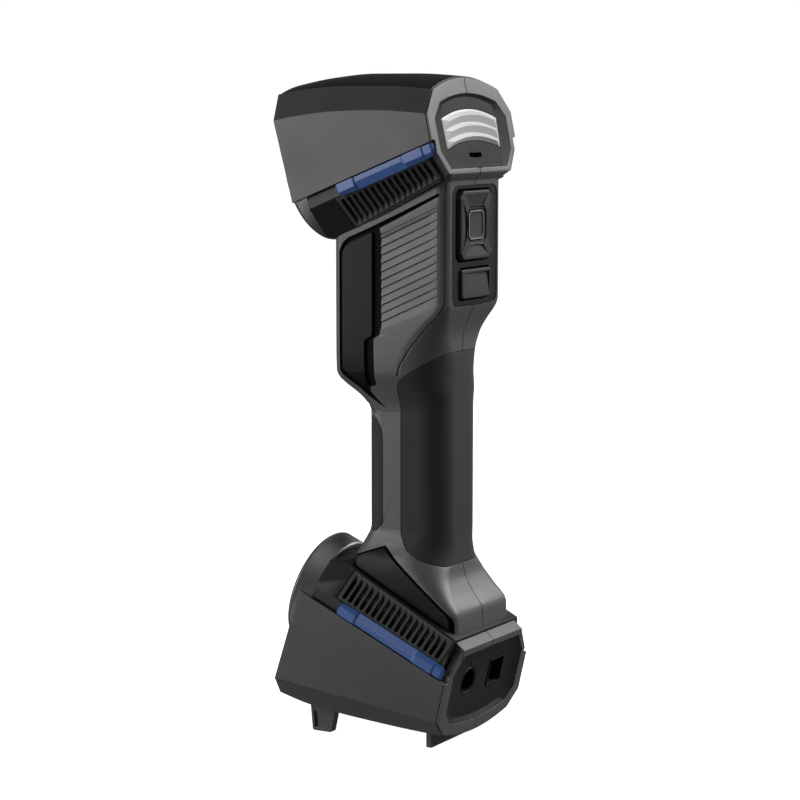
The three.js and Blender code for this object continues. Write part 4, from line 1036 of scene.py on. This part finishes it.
SOCKETS = {"power": (-12.6, 1.9), "data": (11.8, 1.8), "pipe": (-12.9, 9.8)}
POWER_HOLE, DATA_HOLE, PIPE_HOLE = 6.6, (6.7, 6.6), 0.85
POWER_CUP = [(0, -12), (6.3, -12), (6.3, -2.1), (6.1, -1.9), (5.6, -1.9), (5.4, -2.1), (5.4, -10.5),
             (0, -10.5)]
PIN_CIRCLE, PIN_RADIUS, PIN_COUNT = 2.6, 0.7, 4


def at(place, u, v):
    return place @ Matrix.Translation((u, v, 0))


lower_dish = cut(dish("lower", -0.2, -1.9, -3.6),
                 disc(at(lower_place, *SOCKETS["power"]), POWER_HOLE, -6, 2, 64),
                 prism(lower_place, rectangle(*SOCKETS["data"], *DATA_HOLE), -6, 2),
                 disc(at(lower_place, *SOCKETS["pipe"]), PIPE_HOLE, -6, 2, 24))
piece("port_dish", soften(lower_dish, 0.12), "dish", ["port_panel"])
power = at(lower_place, *SOCKETS["power"])
turns = [2 * math.pi * i / PIN_COUNT for i in range(PIN_COUNT)]
pins = [disc(at(power, PIN_CIRCLE * math.cos(a), PIN_CIRCLE * math.sin(a)), PIN_RADIUS, -10.6, -7.6, 16)
        for a in turns]
piece("power_socket_cup", join(turned(power, POWER_CUP, 64), *pins), "socket", ["power_socket"])
piece("data_socket_cup", soften(from_node("data_socket"), 0.12), "socket", ["data_socket"])

# ------------------------ keypad

# Heights, faces as distances behind Y = 0, and half sizes
PAD_Z, FUNCTION_Z = 228.05, 202.85
TRAY_BACK, TRAY_FACE = 32.8, 36.3
PAD_TOP, PAD_MIDDLE = 37.8, 37.1
PAD_HALF, PAD_HALF_HEIGHT, PAD_CORNER = 14.3, 14.75, 3
FUNCTION_HALF, FUNCTION_HALF_HEIGHT = 12.9, 6.25

pad_well = rectangle(-0.5, PAD_Z, PAD_HALF + 1.4, PAD_HALF_HEIGHT + 0.9)
function_well = rectangle(0, FUNCTION_Z, FUNCTION_HALF + 0.9, FUNCTION_HALF_HEIGHT + 0.9)
keypad = cut(prism(BACK, keypad_outline(), TRAY_BACK, TRAY_FACE),
             prism(BACK, rounded(pad_well, 4), 30, REACH),
             prism(BACK, rounded(function_well, 2.6), 30, REACH))
piece("keypad_tray", soften(keypad, 0.25), "dish", ["keypad_panel"])


def layered(*layers):
    """A solid through outlines (outline, n) on the rear face, each at its own distance."""
    return loft([[BACK @ Vector((u, v, n)) for u, v in outline] for outline, n in layers])


def scoop(corners, outer, inner):
    """A wedge that cuts a petal: corners run from the outer edge to the inner edge and back."""
    rings = []
    for level in (0, 3):
        rings.append([BACK @ Vector((u, PAD_Z + v, (outer if far else inner) + level))
                      for u, v, far in corners])
    return loft(rings)


def petals():
    """The four petals: each falls from the rim towards the middle and ends at a low wall."""
    top = [(-10.6, 13.2, 1), (10.6, 13.2, 1), (5.6, 8.6, 0), (0, 8.1, 0), (-5.6, 8.6, 0)]
    right = [(12.9, 11, 1), (12.9, -11, 1), (8.9, -5.2, 0), (8.3, 0, 0), (8.9, 5.2, 0)]
    shapes = [top, right, [(-u, -v, far) for u, v, far in top], [(-u, -v, far) for u, v, far in right]]
    return [scoop(shape, PAD_TOP - 0.02, PAD_TOP - 0.85) for shape in shapes]


def arrow(u, v, turn):
    """A small raised arrow head."""
    points = [(0, 1.1), (-1.2, -0.7), (1.2, -0.7)]
    c, d = math.cos(turn), math.sin(turn)
    outline = [(u + x * c - y * d, PAD_Z + v + x * d + y * c) for x, y in points]
    return prism(BACK, outline, PAD_TOP - 1.5, PAD_TOP - 0.5)


def pad():
    """The direction pad: cut corners, four scooped petals and a low collar round the middle key."""
    outer = chamfered(0, PAD_Z, PAD_HALF, PAD_HALF_HEIGHT, PAD_CORNER)
    body = layered((outer, 33), (outer, PAD_TOP - 0.5), (offset(outer, -0.5), PAD_TOP))
    body = cut(body, *petals())
    arrows = [arrow(0, 11, 0), arrow(0, -11, math.pi), arrow(11, 0, -math.pi / 2),
              arrow(-11, 0, math.pi / 2)]
    body = join(body, *arrows)
    dip = layered((chamfered(0, PAD_Z, 7.9, 7.8, 2), PAD_MIDDLE),
                  (chamfered(0, PAD_Z, 8.9, 8.8, 2.3), PAD_TOP + 1))
    hole = prism(BACK, chamfered(0, PAD_Z, 7.3, 6.8, 1.9), 30, REACH)
    return cut(body, dip, hole)


piece("direction_pad_cap", soften(pad(), 0.1, 2, 12), "key", ["direction_pad"], body="pad")

KEY_TOP = 37.45
key_outline = chamfered(0, PAD_Z, 6.9, 6.4, 1.8)
key = layered((key_outline, 33.6), (key_outline, KEY_TOP - 0.25), (offset(key_outline, -0.25), KEY_TOP),
              (offset(key_outline, -0.8), KEY_TOP), (offset(key_outline, -1), KEY_TOP - 0.35),
              (offset(key_outline, -3), KEY_TOP - 0.5))
key = join(key, prism(BACK, rectangle(0, PAD_Z, 3, 3), 29.2, 34))
piece("select_key_cap", soften(key, 0.08, 2, 20), "key", ["select_key"], body="select")
# A thin light grey ring round the select key: painted highlight for the bright edge of its rim
rim = cut(prism(BACK, offset(key_outline, -0.3), KEY_TOP - 0.15, KEY_TOP + 0.1),
          prism(BACK, offset(key_outline, -0.58), 36, 39))
piece("select_key_highlight_ring", rim, "rim", [], body="select")

FUNCTION_TOP = 37.7
function_outline = rounded(rectangle(0, FUNCTION_Z, FUNCTION_HALF, FUNCTION_HALF_HEIGHT),
                           [2.8, 1.2, 1.2, 2.8])
function_key = layered((function_outline, 33), (function_outline, FUNCTION_TOP - 0.4),
                       (offset(function_outline, -0.4), FUNCTION_TOP))
# The finger dip is deepest at its upper edge, towards -X
ledge = [(11.6, 207.7, 36.6), (-10, 207.7, 37.15), (-11, 199, 37.75), (11.6, 198, 37.6)]
finger_dip = loft([[BACK @ Vector((u, v, n + rise)) for u, v, n in ledge] for rise in (0, 3)])
piece("function_key_cap", soften(cut(function_key, finger_dip), 0.1, 2, 20), "key", ["function_key"],
      body="function")

# ------------------------ CAD nodes that stay

KEPT = {
    "metal": ["laser_module_1", "laser_module_2", "laser_module_3", "lanyard_bar", "spine",
              "upper_heat_sink", "lower_heat_sink"],
    "board": ["upper_led_board", "lower_led_board", "upper_sensor_board", "lower_sensor_board",
              "status_board", "interface_board", "keypad_board", "main_board"],
    "glass": ["status_light_pipe"],
    "key": ["pad_gimbal"],
}
for material, names in KEPT.items():
    for node in names:
        NODES[node].data.materials.clear()
        NODES[node].data.materials.append(MATERIALS[material])

# ------------------------ floor, lights and camera

# Metres, degrees and watts; a soft box is (azimuth, elevation, size, power)
MIDDLE = (0, 0, 0.146)
BOX_TARGET = (0, 0, 0.17)
BOX_DISTANCE = 1.5
SOFT_BOXES = {"front_box": (-42, 13, (1, 0.9), 19.5), "rear_box": (138, 38, (1.1, 1.1), 39)}
FLOOR_HALF, FLOOR_DROP, FLOOR_GLOW = 30, 0.0002, 1
SKY_LOW, SKY_HIGH = 0.22, 0.06
# Millimetres and degrees, in the design frame
CAMERA = {"place": (934.2, 549.5, 286.5), "turn": 30.5, "pitch": 7.2, "lens": 111.15}


def backdrop():
    """A pale floor that glows, and neither lights the object nor shows in it."""
    bm = bmesh.new()
    bm.faces.new([bm.verts.new((x, y, -FLOOR_DROP))
                  for x, y in rectangle(0, 0, FLOOR_HALF, FLOOR_HALF)])
    mesh = mesh_from("floor", bm)
    material = bpy.data.materials.new("pale_floor")
    material.use_nodes = True
    shader = material.node_tree.nodes["Principled BSDF"]
    shader.inputs["Base Color"].default_value = (0.55, 0.55, 0.55, 1)
    shader.inputs["Roughness"].default_value = 0.9
    shader.inputs["Specular IOR Level"].default_value = 0
    shader.inputs["Emission Color"].default_value = (1, 1, 1, 1)
    shader.inputs["Emission Strength"].default_value = FLOOR_GLOW
    mesh.materials.append(material)
    floor = object_from("floor", mesh)
    floor.visible_diffuse = False
    floor.visible_glossy = False


def around(azimuth, elevation):
    """A place around the object; azimuth 0 is +X and 90 is +Y."""
    a, e = math.radians(azimuth), math.radians(elevation)
    return Vector(MIDDLE) + BOX_DISTANCE * Vector((math.cos(a) * math.cos(e), math.sin(a) * math.cos(e),
                                                   math.sin(e)))


def soft_box(name, place, size, power):
    light = bpy.data.lights.new(name, "AREA")
    light.shape = "RECTANGLE"
    light.size, light.size_y = size
    light.energy = power
    obj = object_from(name, light)
    obj.location = place
    obj.rotation_mode = "QUATERNION"
    obj.rotation_quaternion = (Vector(BOX_TARGET) - place).to_track_quat("-Z", "Y")


def studio_world():
    """White behind the object, and for its lighting a dim dome that is darkest overhead."""
    world = bpy.data.worlds.new("studio")
    world.use_nodes = True
    nodes, links = world.node_tree.nodes, world.node_tree.links
    dome = nodes["Background"]
    where = nodes.new("ShaderNodeTexCoord")
    parts = nodes.new("ShaderNodeSeparateXYZ")
    fade = nodes.new("ShaderNodeMapRange")
    for name, value in (("From Min", 0), ("From Max", 0.8), ("To Min", SKY_LOW), ("To Max", SKY_HIGH)):
        fade.inputs[name].default_value = value
    links.new(where.outputs["Generated"], parts.inputs["Vector"])
    links.new(parts.outputs["Z"], fade.inputs["Value"])
    links.new(fade.outputs["Result"], dome.inputs["Strength"])
    white = nodes.new("ShaderNodeBackground")
    for background in (dome, white):
        background.inputs["Color"].default_value = (1, 1, 1, 1)
    white.inputs["Strength"].default_value = 1
    path = nodes.new("ShaderNodeLightPath")
    blend = nodes.new("ShaderNodeMixShader")
    links.new(path.outputs["Is Camera Ray"], blend.inputs["Fac"])
    links.new(dome.outputs["Background"], blend.inputs[1])
    links.new(white.outputs["Background"], blend.inputs[2])
    links.new(blend.outputs["Shader"], nodes["World Output"].inputs["Surface"])
    bpy.context.scene.world = world


def photo_camera():
    data = bpy.data.cameras.new("camera")
    data.sensor_width = 36
    data.lens = CAMERA["lens"]
    data.clip_start, data.clip_end = 0.05, 100
    camera = object_from("camera", data)
    x, y, z = CAMERA["place"]
    camera.location = (x * MM, (y + OFFSET_Y) * MM, z * MM)
    turn, pitch = math.radians(CAMERA["turn"]), math.radians(CAMERA["pitch"])
    forward = -Vector((math.cos(turn) * math.cos(pitch), math.sin(turn) * math.cos(pitch), math.sin(pitch)))
    camera.rotation_mode = "QUATERNION"
    camera.rotation_quaternion = forward.to_track_quat("-Z", "Y")
    bpy.context.scene.camera = camera


backdrop()
for name, (azimuth, elevation, size, power) in SOFT_BOXES.items():
    soft_box(name, around(azimuth, elevation), size, power)
studio_world()
bpy.context.scene.view_settings.view_transform = "Standard"
photo_camera()
